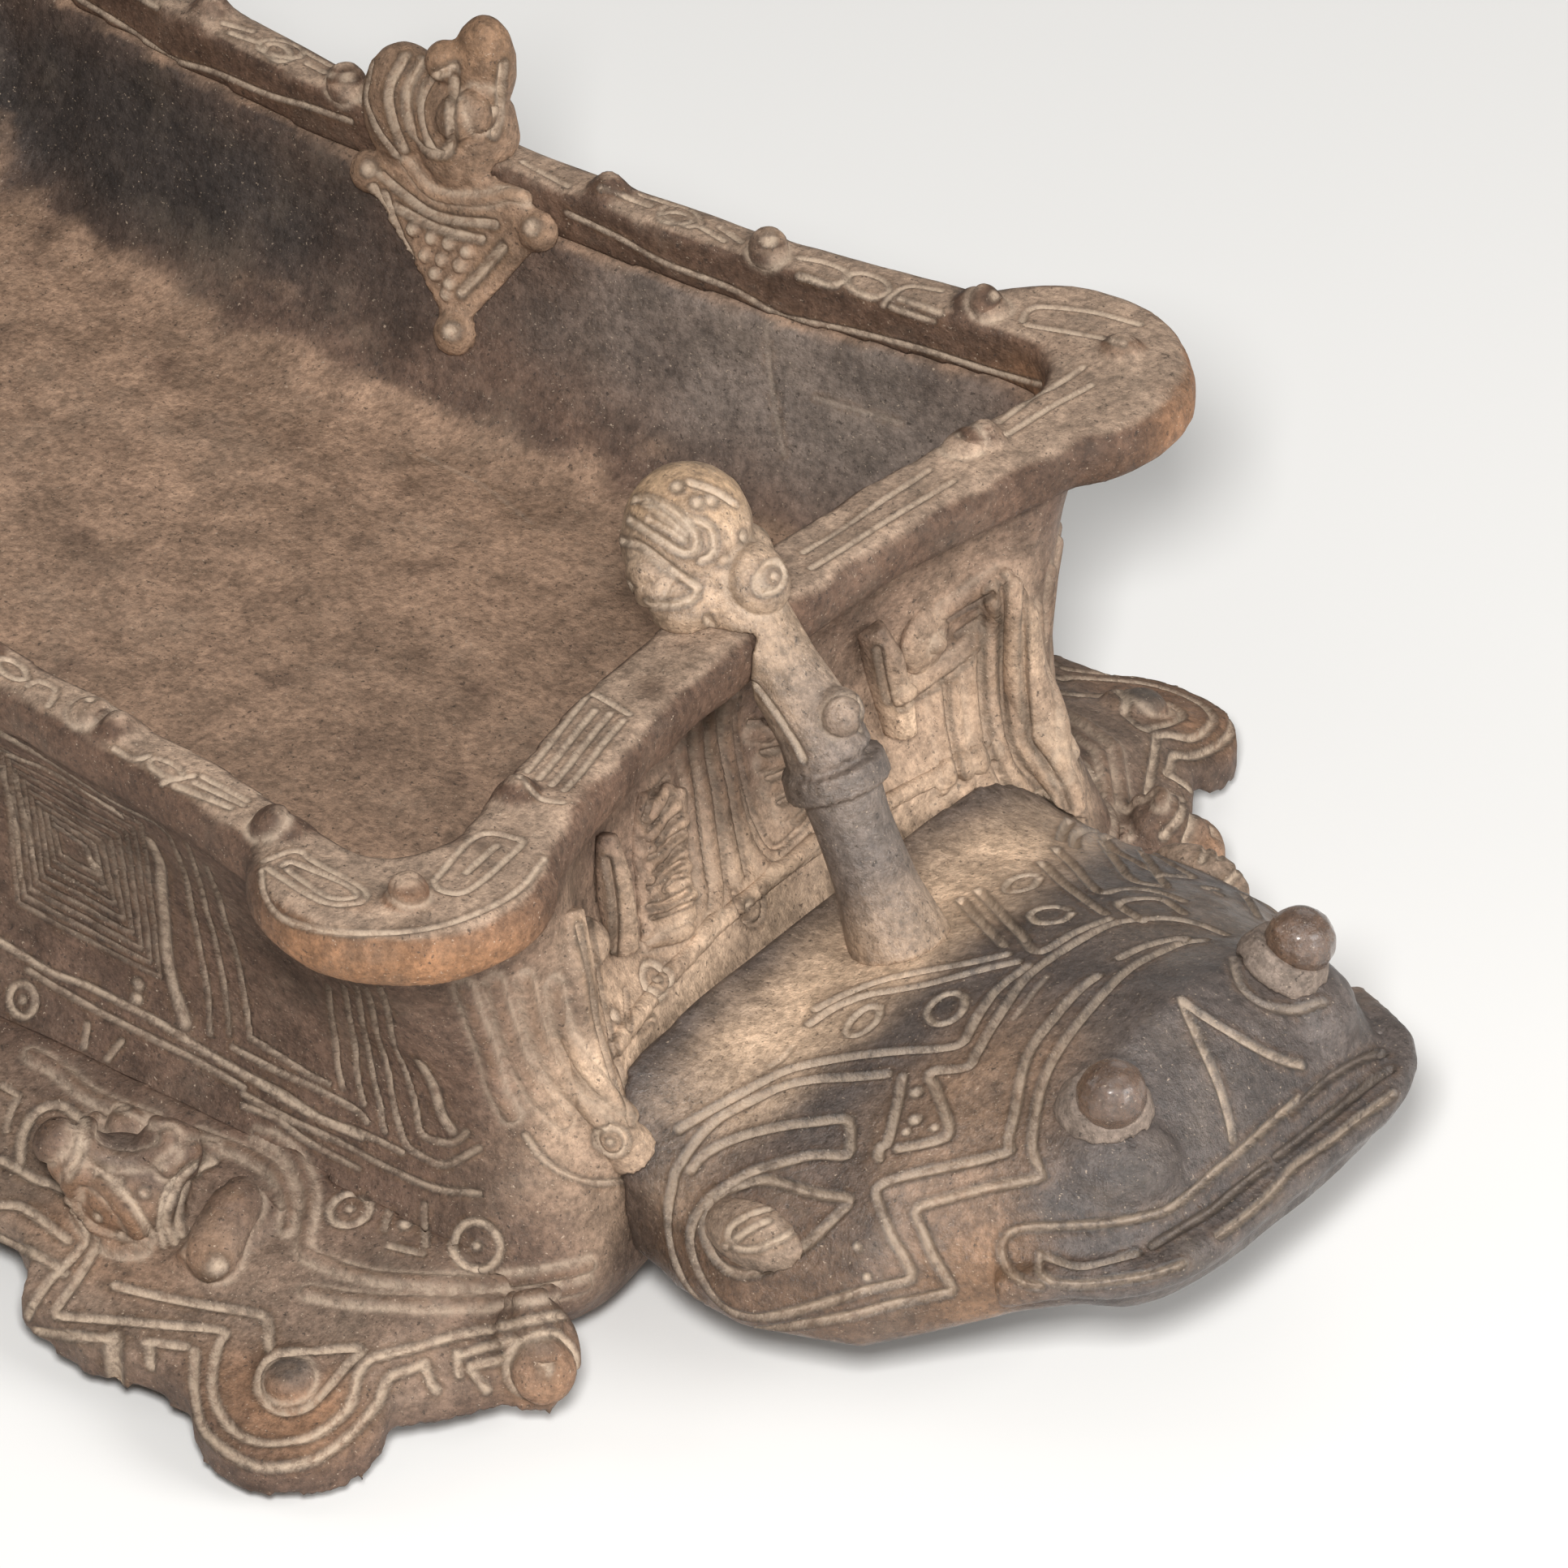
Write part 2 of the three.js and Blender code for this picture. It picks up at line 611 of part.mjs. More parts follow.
for (const [side, sy] of SIDES) {
  const rimGrown = rimSolid(GAP);
  const crestGrown = lugCrest(sy, GAP);
  add(`lug_crest_${side}`, lugCrest(sy, 0).subtract(rimGrown).subtract(envelope), TAN);
  add(`lug_head_${side}`,
    lugHead(sy, 0).subtract(rimGrown).subtract(crestGrown).subtract(envelope), TAN);
  add(`lug_panel_${side}`,
    lugPanel(sy).subtract(rimGrown).subtract(crestGrown).subtract(lugHead(sy, 2 * GAP)), TAN);
}

for (const [side, sy] of SIDES) {
  const at = (share, depth, out) => {
    const y = share * HALF_W;
    return [frontFace(y, depth) + out, sy * y, RIM_H - depth];
  };
  const loop = bar([at(0.39, 32, 1), at(0.405, 40, 3), at(0.412, 52, 3), at(0.412, 60, 2)],
    [4.5, 6, 6, 5], 10);
  add(`wall_loop_${side}`, loop.subtract(envelope), TAN);
  const fingers = [];
  for (let i = 0; i < 6; i++) {
    const d = 41 + 5 * i;
    const share = 0.162 + 0.0147 * i;
    fingers.push(bar([at(share, d + 3, 1), at(share + 0.095, d - 4, 1)], [3.4, 3.2], 8));
  }
  const palm = bar([at(0.154, 41, 1.5), at(0.199, 56, 1.5), at(0.235, 67, 1.5)], [5, 5, 4.5], 8);
  const comb = union([...fingers, palm]);
  add(`wall_comb_${side}`, comb.subtract(envelope), TAN);
  add(`wall_knob_${side}`, ball(6.5, ...at(0.529, 48, 1), 12).subtract(envelope), TAN);
  const band = bar([at(0.596, 32, 1), at(0.625, 44, 1.5), at(0.625, 60, 1.5),
    at(0.632, 78, 2), at(0.625, 86, 3), at(0.6, 92, 4)], [4, 5, 5, 5, 5.5, 6.5], 12);
  add(`corner_band_${side}`, band.subtract(envelope).subtract(headGrown), TAN);
}

const ledge = [];
for (let i = -6; i <= 6; i++) {
  const y = i * 0.09 * HALF_W;
  ledge.push([frontFace(y, 74) + 0.5, y, RIM_H - 74]);
}
add('wall_ledge', bar(ledge, ledge.map(() => 2.6), 6).subtract(envelope).subtract(headGrown), TAN);

const tailRings = [];
for (let i = 0; i <= 8; i++) {
  const u = i / 8;
  const half = 62 * Math.sqrt(Math.max(0.02, 1 - (u * 0.985) ** 2.6));
  const ring = [];
  for (let k = 0; k < 24; k++) {
    const t = (2 * Math.PI * k) / 24;
    const c = Math.cos(t);
    ring.push([-(HALF_L + 2) - u * TAIL_L, -Math.sign(c) * Math.abs(c) ** 0.7 * half,
      FLANGE_Z + 12 - 5 * u + Math.sin(t) * (13 - 5 * u)]);
  }
  tailRings.push(ring);
}
add('tail_lobe', loft(tailRings).subtract(envelope), CLAY);

// The origin is in the middle of the whole footprint, on the ground.
const extent = new THREE.Box3().setFromObject(group);
group.position.x = -(extent.min.x + extent.max.x) / 2;

export default group;
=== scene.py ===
"""A clay vessel with animal heads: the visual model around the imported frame."""
import math
from collections import namedtuple

import bpy
import numpy as np
from mathutils import Matrix, Vector
from mathutils.bvhtree import BVHTree


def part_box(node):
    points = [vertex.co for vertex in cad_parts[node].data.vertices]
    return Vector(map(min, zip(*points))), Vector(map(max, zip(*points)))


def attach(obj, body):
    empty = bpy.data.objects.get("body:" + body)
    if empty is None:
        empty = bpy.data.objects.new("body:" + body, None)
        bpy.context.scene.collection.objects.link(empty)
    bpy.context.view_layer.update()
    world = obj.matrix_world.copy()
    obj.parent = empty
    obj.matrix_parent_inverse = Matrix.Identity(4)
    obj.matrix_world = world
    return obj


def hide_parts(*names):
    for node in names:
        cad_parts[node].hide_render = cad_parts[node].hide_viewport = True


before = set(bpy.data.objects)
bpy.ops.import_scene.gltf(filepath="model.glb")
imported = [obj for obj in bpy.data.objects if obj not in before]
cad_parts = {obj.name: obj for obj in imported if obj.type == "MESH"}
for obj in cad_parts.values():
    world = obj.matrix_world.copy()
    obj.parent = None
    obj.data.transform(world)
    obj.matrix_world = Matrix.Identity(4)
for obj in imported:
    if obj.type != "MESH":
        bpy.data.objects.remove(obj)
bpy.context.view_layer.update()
MM = 0.001
RIM_BOX = [np.array(p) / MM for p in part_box("rim_band")]
MID_X = float(RIM_BOX[0][0] + RIM_BOX[1][0]) / 2

# The camera of the photograph, in pixels, degrees and millimetres; the image is square.
IMAGE = 1932
FOCAL = 22785.0
AZIMUTH, ELEVATION, ROLL = 37.3, 35.69, -0.41
CAMERA_FROM_BASIN = (2260.87, -2732.49, 2568.45)
PIXELS_PER_MM = 4.5
SENSOR = 36
CLIP_END = 50


def camera_axes():
    """The camera's directions to its right, up and backwards."""
    az, el, roll = (math.radians(a) for a in (AZIMUTH, ELEVATION, ROLL))
    back = np.array([math.sin(az) * math.cos(el), -math.cos(az) * math.cos(el), math.sin(el)])
    right = np.cross(-back, [0, 0, 1])
    right /= np.linalg.norm(right)
    up = np.cross(right, -back)
    x = math.cos(roll) * right + math.sin(roll) * up
    y = -math.sin(roll) * right + math.cos(roll) * up
    return x, y, back


CAM_X, CAM_Y, CAM_BACK = camera_axes()
CAM_AT = np.array(CAMERA_FROM_BASIN) + (MID_X, 0, 0)


def pixel_ray(px, py):
    d = CAM_X * (px - IMAGE / 2) - CAM_Y * (py - IMAGE / 2) - CAM_BACK * FOCAL
    return d / np.linalg.norm(d)


def linked(name, data):
    """A new object in the scene."""
    ob = bpy.data.objects.new(name, data)
    bpy.context.scene.collection.objects.link(ob)
    return ob


def make_camera():
    data = bpy.data.cameras.new("camera")
    data.sensor_width = SENSOR
    data.lens = FOCAL / IMAGE * SENSOR
    data.clip_end = CLIP_END
    cam = linked("camera", data)
    turn = np.eye(4)
    turn[:3, 0], turn[:3, 1], turn[:3, 2] = CAM_X, CAM_Y, CAM_BACK
    turn[:3, 3] = CAM_AT * MM
    cam.matrix_world = Matrix(turn.tolist())
    bpy.context.scene.camera = cam


# Meshes as arrays of points and triangles, in millimetres.

SWELL, TUCKED = 0.2, -1.2
INWARD, KEPT = 0.5, 0.1
OUTWARD = -1 / (1 / INWARD - KEPT)
REFINE_ROUNDS = 4
MOST_BEND = 0.1


def normals(v, f):
    n = np.cross(v[f[:, 1]] - v[f[:, 0]], v[f[:, 2]] - v[f[:, 0]])
    out = np.zeros_like(v)
    for k in range(3):
        for c in range(3):
            out[:, c] += np.bincount(f[:, k], n[:, c], len(v))
    return out / np.maximum(np.linalg.norm(out, axis=1), 1e-12)[:, None]


def arrays(me):
    me.calc_loop_triangles()
    co = np.zeros(len(me.vertices) * 3, np.float32)
    me.vertices.foreach_get("co", co)
    tri = np.zeros(len(me.loop_triangles) * 3, np.int32)
    me.loop_triangles.foreach_get("vertices", tri)
    return co.reshape(-1, 3).astype(float), tri.reshape(-1, 3).astype(np.int64)


def node_arrays(node):
    """A CAD node with each corner's points made one."""
    v, f = arrays(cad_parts[node].data)
    v /= MM
    _, first, back = np.unique(np.round(v, 3), axis=0, return_index=True, return_inverse=True)
    f = back.reshape(-1)[f]
    f = f[(f[:, 0] != f[:, 1]) & (f[:, 1] != f[:, 2]) & (f[:, 0] != f[:, 2])]
    return v[first], f


def edges_of(f):
    """The ends of each edge, and which edge each side of each triangle is."""
    size = int(f.max()) + 1
    e = np.sort(f[:, [0, 1, 1, 2, 2, 0]].reshape(-1, 2), axis=1)
    key, back = np.unique(e[:, 0] * size + e[:, 1], return_inverse=True)
    return key // size, key % size, back


def low_pass(v, f, rounds):
    """Evens out a mesh without shrinking it."""
    a, b, _ = edges_of(f)
    count = np.bincount(a, minlength=len(v)) + np.bincount(b, minlength=len(v))
    count = np.maximum(count, 1)[:, None]
    for i in range(rounds * 2):
        total = np.zeros_like(v)
        for c in range(3):
            total[:, c] = np.bincount(a, v[b, c], len(v)) + np.bincount(b, v[a, c], len(v))
        v = v + (INWARD if i % 2 == 0 else OUTWARD) * (total / count - v)
    return v


def joined(skins):
    starts = np.cumsum([0] + [len(v) for v, _ in skins])
    return (np.concatenate([v for v, _ in skins]),
            np.concatenate([f + at for (_, f), at in zip(skins, starts)]))


def shell(nodes, voxel, rounds, swell=SWELL):
    """One smooth closed skin over some CAD nodes; swell is one distance or one for each node."""
    swollen = []
    for node, out in zip(nodes, np.broadcast_to(swell, len(nodes))):
        v, f = node_arrays(node)
        swollen.append((v + out * normals(v, f), f))
    v, f = joined(swollen)
    me = bpy.data.meshes.new("shell")
    me.from_pydata(v.tolist(), [], f.tolist())
    ob = linked("shell", me)
    mod = ob.modifiers.new("remesh", "REMESH")
    mod.mode = "VOXEL"
    mod.voxel_size = voxel
    v, f = arrays(ob.evaluated_get(bpy.context.evaluated_depsgraph_get()).to_mesh())
    bpy.data.objects.remove(ob)
    return low_pass(v, f, rounds), f


def refine(v, f, wanted):
    """Splits each edge that is longer than wanted(middle), along the curved surface."""
    for _ in range(REFINE_ROUNDS):
        n = normals(v, f)
        a, b, back = edges_of(f)
        run = v[b] - v[a]
        length = np.linalg.norm(run, axis=1)
        middle = (v[a] + v[b]) / 2
        split = length > wanted(middle)
        if not split.any():
            break
        bend = (n[a] * (run * n[a]).sum(1)[:, None] - n[b] * (run * n[b]).sum(1)[:, None]) / 8
        high = np.maximum(np.linalg.norm(bend, axis=1), 1e-9)
        bend *= np.minimum(1, MOST_BEND * length / high)[:, None]
        new = np.full(len(a), -1, np.int64)
        new[split] = len(v) + np.arange(split.sum())
        v = np.concatenate([v, (middle - bend)[split]])
        f = split_faces(f, new[back].reshape(-1, 3))
    return v, f


def split_faces(f, m):
    """Each triangle becomes one to four, by which of its edges have a middle point."""
    has = m >= 0
    count = has.sum(1)
    out = [f[count == 0]]

    def add(*corners):
        out.append(np.stack(corners, 1))

    t, k = f[count == 3], m[count == 3]
    for i in range(3):
        add(t[:, i], k[:, i], k[:, i - 1])
    out.append(k)
    for turn in range(3):
        order = [turn, (turn + 1) % 3, (turn + 2) % 3]
        one = (count == 1) & has[:, turn]
        t, k = f[one][:, order], m[one][:, order]
        add(t[:, 0], k[:, 0], t[:, 2])
        add(k[:, 0], t[:, 1], t[:, 2])
        two = (count == 2) & ~has[:, order[2]]
        t, k = f[two][:, order], m[two][:, order]
        add(t[:, 0], k[:, 0], t[:, 2])
        add(k[:, 0], k[:, 1], t[:, 2])
        add(k[:, 0], t[:, 1], k[:, 1])
    return np.concatenate(out)


WAVES, WAVES_PEAK = 28, 1.6
WAVES_SPREAD = (0.5, 1.3)


def waves(p, size, seed):
    """Smooth noise from about -1 to 1, with bumps about size millimetres across."""
    draw = np.random.default_rng(seed)
    k = draw.normal(size=(WAVES, 3))
    long = np.linalg.norm(k, axis=1)[:, None]
    k *= (2 * math.pi / size) * draw.uniform(*WAVES_SPREAD, (WAVES, 1)) / long
    phase = draw.uniform(0, 2 * math.pi, WAVES)
    return np.sin(p @ k.T + phase).sum(1) / math.sqrt(WAVES / 2) / WAVES_PEAK


# Marks: lines, coils, dots and pellets that follow a surface.

GROOVE, COIL = "groove", "coil"
Mark = namedtuple("Mark", "path kind wide deep dust ring")

# The camera's rays start this far from it, and their hits become paths with these steps.
RAY_START = 3500
PIXEL_STEP, PATH_STEP, PATH_BREAK = 6, 1.6, 9
CURVE_STEPS, OVAL_POINTS, BRIDGE_POINTS = 8, 25, 40
PATH_RUN = 6

# A mark's cross-section: places and widths as shares of its half width.
REACH = 3.2
GROOVE_SHAPE = 1.3
LIP_AT, LIP_WIDE, LIP_HIGH = 1.35, 0.4, 0.16
WEAR_AT, WEAR_WIDE, WEAR_MOST = 1.7, 0.6, 0.3
# Painted shade: a dark band painted into the colour on both sides of each groove, standing in for the shade
# along its edges.
PAINTED_SHADE_AT, PAINTED_SHADE_WIDE = 1.1, 0.55
DUST_WIDE = 0.95
FOOT_AT, FOOT_MM = 1.08, 0.9

# Half widths and depths in millimetres, and the dust of pellets that are pale all over.
RING_WIDE, RING_DOT_WIDE, RING_DEEP = 0.95, 1.1, 1.0
BRIDGE_WIDE, BRIDGE_DEEP = 0.9, 1.0
DUSTY_ALL_OVER = 2

# Edges: times the fine length, from how many half widths off they grow, and how fast.
EDGE_TIMES, EDGE_FROM, EDGE_GROWTH = 1.4, 1.4, 0.85


def paths(text):
    """The paths in a text, as pixels: one to a line, which an indented line goes on with."""
    found = []
    for line in text.strip("\n").split("\n"):
        if not line.startswith(" "):
            found.append([])
        found[-1] += [float(word) for word in line.split() if not word[0].isalpha()]
    return [np.reshape(path, (-1, 2)) for path in found]


class Surface:
    """What marks are cast and laid on."""

    def __init__(self, v, f):
        self.tree = BVHTree.FromPolygons(v.tolist(), f.tolist(), epsilon=0)

    def cast(self, px, py):
        ray = pixel_ray(px, py)
        hit = self.tree.ray_cast(Vector(CAM_AT + ray * RAY_START), Vector(ray))
        return None if hit[0] is None else np.array(hit[0])

    def settle(self, points):
        return np.array([self.tree.find_nearest(Vector(p))[0] for p in points])


def smooth_path(points, step):
    """A curve through the points, in even steps."""
    p = np.asarray(points, float)
    if len(p) > 2:
        ext = np.concatenate([[2 * p[0] - p[1]], p, [2 * p[-1] - p[-2]]])
        t = np.linspace(0, 1, CURVE_STEPS + 1)[:-1, None]
        parts = []
        for a, b, c, d in zip(ext[:-3], ext[1:-2], ext[2:-1], ext[3:]):
            parts.append(0.5 * (2 * b + (c - a) * t + (2 * a - 5 * b + 4 * c - d) * t ** 2
                                + (3 * b - a - 3 * c + d) * t ** 3))
        p = np.concatenate(parts + [p[-1:]])
    gap = np.linalg.norm(np.diff(p, axis=0), axis=1)
    run = np.concatenate([[0], np.cumsum(gap)])
    want = np.linspace(0, run[-1], max(2, int(run[-1] / step) + 1))
    return np.stack([np.interp(want, run, p[:, c]) for c in range(p.shape[1])], 1)


def straight_path(points, step):
    """The same, with straight sides and sharp corners."""
    return np.concatenate([np.linspace(a, b, max(2, int(np.linalg.norm(b - a) / step)))
                           for a, b in zip(points[:-1], points[1:])])


def cast_path(surface, pixels, sharp=False):
    """The photograph's path, laid on a surface; it is cut where it leaves it."""
    runs, run = [], []
    for px, py in (straight_path if sharp else smooth_path)(pixels, PIXEL_STEP):
        p = surface.cast(px, py)
        if p is None or (run and np.linalg.norm(p - run[-1]) > PATH_BREAK):
            runs.append(run)
            run = [] if p is None else [p]
        else:
            run.append(p)
    runs.append(run)
    return [smooth_path(r[::2] if len(r) > 5 else r, PATH_STEP) for r in runs if len(r) > 1]


def most(layer, part, values):
    """Raises a part of a layer to the values, where they are higher."""
    layer[part] = np.maximum(layer[part], values)


def bell(r, at, wide):
    return np.exp(-((r - at) / wide) ** 2)


class Marks:
    """The marks of one piece, and what they do to its points."""

    def __init__(self, *skins):
        self.surface = Surface(*joined(skins)) if skins else None
        self.list = []

    def add(self, path, kind, wide, deep, dust=1.0, ring=0.0):
        self.list.append(Mark(np.asarray(path, float), kind, wide, deep, dust, ring))

    def line(self, pixels, wide, deep, kind=GROOVE, dust=1.0, sharp=False):
        for path in cast_path(self.surface, pixels, sharp):
            self.add(path, kind, wide, deep, dust)

    def lines(self, text, **more):
        for pixels in paths(text):
            self.line(pixels, **more)

    def spot(self, px, py, *more):
        p = self.surface.cast(px, py)
        if p is not None:
            self.add([p, p], *more)

    def dots(self, text, wide=1.6, deep=1.2):
        for px, py in paths(text)[0]:
            self.spot(px, py, GROOVE, wide, deep)

    def pellet(self, px, py, radius, high, dust=0.7):
        self.spot(px, py, COIL, radius, high, dust)

    def ring(self, px, py, radius):
        """A ring with a dot in it; the radius is in pixels too."""
        self.spot(px, py, GROOVE, RING_WIDE, RING_DEEP, 1.0, radius / PIXELS_PER_MM)
        self.spot(px, py, GROOVE, RING_DOT_WIDE, RING_DEEP)

    def oval(self, px, py, long, short, tilt, **more):
        turn = math.radians(tilt)
        t = np.linspace(0, 2 * math.pi, OVAL_POINTS)
        x = px + long * np.cos(t) * math.cos(turn) - short * np.sin(t) * math.sin(turn)
        y = py + long * np.cos(t) * math.sin(turn) + short * np.sin(t) * math.cos(turn)
        self.line(np.stack([x, y], 1), **more)

    def nested(self, inner, outer, count, **more):
        """Closed figures between an inner and an outer one."""
        inner, outer = paths(inner)[0], paths(outer)[0]
        for share in np.linspace(0, 1, count):
            corners = inner + (outer - inner) * share
            self.line(np.concatenate([corners, corners[:1]]), sharp=True, **more)

    def bridge(self, pixels):
        """Joins a line that leaves the picture to its copy at the other end."""
        start = min(cast_path(self.surface, pixels)[0], key=lambda p: p[0])
        other = (2 * MID_X - start[0], start[1], start[2])
        path = self.surface.settle(np.linspace(start, other, BRIDGE_POINTS))
        self.add(path, GROOVE, BRIDGE_WIDE, BRIDGE_DEEP)

    def mirror(self, axis, beyond=None):
        """Copies all marks to the other end (axis 0) or side (axis 1), but nothing nearer than beyond."""
        for mark in list(self.list):
            path = mark.path.copy()
            path[:, axis] = (2 * MID_X, 0)[axis] - path[:, axis]
            if beyond is not None:
                path = path[np.abs(path[:, axis]) > beyond]
            if len(path) > 1:
                self.list.append(mark._replace(path=path))

    def reach(self, v, each):
        """Calls each(mark, the points near it, their distance to it)."""
        order = np.argsort(v[:, 0])
        xs = v[order, 0]
        for mark in self.list:
            pad = mark.wide * REACH + mark.ring + 1
            lo, hi = mark.path.min(0) - pad, mark.path.max(0) + pad
            part = order[np.searchsorted(xs, lo[0]):np.searchsorted(xs, hi[0])]
            p = v[part]
            inside = (p[:, 1] > lo[1]) & (p[:, 1] < hi[1]) & (p[:, 2] > lo[2]) & (p[:, 2] < hi[2])
            part = part[inside]
            if len(part):
                r = distance(v[part], mark.path, pad)
                each(mark, part, np.abs(r - mark.ring) if mark.ring else r)

    def wanted(self, fine, coarse):
        """How long an edge may be: short along the marks, and coarse far from them."""
        def size(middle):
            out = np.full(len(middle), coarse)

            def near(mark, part, r):
                grown = np.maximum(0, r - mark.wide * EDGE_FROM) * EDGE_GROWTH
                out[part] = np.minimum(out[part], fine * EDGE_TIMES + grown)

            self.reach(middle, near)
            return out

        return size

    def carve(self, v, n):
        """Moves the points along their normals; returns them with their dust, wear and the painted shade
        that darkens the colour beside each groove.
        """
        down, up, dust, wear, painted_shade = np.zeros((5, len(v)))

        def each(mark, part, r):
            wide, deep = mark.wide, mark.deep
            if mark.kind == GROOVE:
                bowl = np.cos(np.clip(r / wide, 0, 1) * math.pi / 2) ** GROOVE_SHAPE
                most(down, part, deep * np.where(r < wide, bowl, 0))
                most(up, part, LIP_HIGH * deep * bell(r, wide * LIP_AT, wide * LIP_WIDE))
                most(dust, part, mark.dust * np.exp(-(r / (wide * DUST_WIDE)) ** 4))
                most(wear, part, WEAR_MOST * bell(r, wide * WEAR_AT, wide * WEAR_WIDE))
                # painted shade: darkens the colour just beside the groove
                most(painted_shade, part, min(1, deep) * bell(r, wide * PAINTED_SHADE_AT, wide * PAINTED_SHADE_WIDE))
            else:
                q = np.clip(1 - (r / wide) ** 2, 0, 1)
                foot = bell(r, wide * FOOT_AT, FOOT_MM)
                most(up, part, deep * np.sqrt(q))
                most(dust, part, q if mark.dust == DUSTY_ALL_OVER else mark.dust * foot)
                most(wear, part, WEAR_MOST * q ** 2)

        self.reach(v, each)
        return v + n * (up - down)[:, None], dust, wear, painted_shade


UNMARKED = Marks()


def distance(p, path, pad):
    """From each point to the nearest place on a path; far points keep a large number."""
    best = np.full(len(p), 1e9)
    for i in range(0, len(path) - 1, PATH_RUN):
        run = path[i:i + PATH_RUN + 1]
        near = np.flatnonzero(((p > run.min(0) - pad) & (p < run.max(0) + pad)).all(1))
        if len(near) == 0:
            continue
        gap = p[near][:, None] - run[:-1]
        step = np.diff(run, axis=0)
        t = np.clip((gap * step).sum(2) / np.maximum((step * step).sum(1), 1e-9), 0, 1)
        gap = gap - t[:, :, None] * step
        best[near] = np.minimum(best[near], (gap * gap).sum(2).min(1))
    return np.sqrt(best)


# Pieces: a skin with its marks, colours and material.

ZONE_EDGE, DARKEST = 1.35, 0.004
TOP_FROM, TOP_SPAN = 0.7, 0.22
# How much the painted shade beside the grooves darkens the colour.
GROOVE_PAINTED_SHADE = 0.58

# Slow noise: the size of its bumps in millimetres, how much it moves, and what its seed adds.
UNEVEN = (26, 0.35, 3)
ZONE_WAVE = (22, 0.08, 5)
TOP_WAVE = (14, 0.12, 7)
CLOUDS = ((38, 0.10, 0), (13, 0.07, 1))


def piece(name, v, f, look, nodes, **layers):
    """A finished mesh object that stands for CAD nodes."""
    me = bpy.data.meshes.new(name)
    me.vertices.add(len(v))
    me.vertices.foreach_set("co", (v * MM).astype(np.float32).ravel())
    me.loops.add(len(f) * 3)
    me.loops.foreach_set("vertex_index", f.astype(np.int32).ravel())
    me.polygons.add(len(f))
    me.polygons.foreach_set("loop_start", np.arange(0, len(f) * 3, 3, dtype=np.int32))
    me.update()
    me.validate()
    me.polygons.foreach_set("use_smooth", np.ones(len(me.polygons), bool))
    for layer, values in layers.items():
        if values.ndim == 1:
            att = me.attributes.new(layer, "FLOAT", "POINT")
            att.data.foreach_set("value", values.astype(np.float32))
        else:
            att = me.attributes.new(layer, "FLOAT_COLOR", "POINT")
            att.data.foreach_set("color", np.c_[values, np.ones(len(values))].astype(np.float32).ravel())
    material, slot = look
    me.materials.append(material)
    ob = linked(name, me)
    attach(ob, "root")
    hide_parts(*nodes)


def slow(v, seed, size, amount, turn):
    return amount * waves(v, size, seed + turn)


def blend(a, b, share):
    return a * (1 - share) + share * b


def tint_of(v, n, base, top, zones, seed):
    """The points' colours: a base, zones with soft edges, a colour for tops, and slow mottling."""
    out = np.tile(base, (len(v), 1))
    for centre, reach, colour in zones:
        gap = (v - centre) / reach
        r = np.sqrt((gap * gap).sum(1)) + slow(v, seed, *ZONE_WAVE)
        w = np.clip(ZONE_EDGE - r, 0, 1)
        out = blend(out, colour, (w * w * (3 - 2 * w))[:, None])
    if top:
        up = np.clip((n[:, 2] + slow(v, seed, *TOP_WAVE) - TOP_FROM) / TOP_SPAN, 0, 1)
        out = blend(out, top, up[:, None])
    cloud = sum(slow(v, seed, *wave) for wave in CLOUDS)
    return np.clip(out * (1 + cloud[:, None]), DARKEST, 1)


def dressed(name, nodes, skin, look, base, seed, zones=(), top=None, marks=UNMARKED, fine=0.5, coarse=2.5):
    """A piece with its marks; fine and coarse are the lengths of edges at the marks and far off."""
    v, f = skin
    if marks.list:
        v, f = refine(v, f, marks.wanted(fine, coarse))
    v = v + normals(v, f) * slow(v, seed, *UNEVEN)[:, None]
    n = normals(v, f)
    tint = tint_of(v, n, base, top, zones, seed)
    v, dust, wear, painted_shade = marks.carve(v, n)
    v[:, 2] = np.maximum(v[:, 2], 0)
    # Painted shade beside the grooves, baked into the tint.
    tint *= 1 - GROOVE_PAINTED_SHADE * painted_shade[:, None]
    piece(name, v, f, look, nodes, dust=dust, wear=wear, tint=tint)


def fill(node, inputs):
    for key, value in inputs.items():
        node.inputs[key].default_value = value


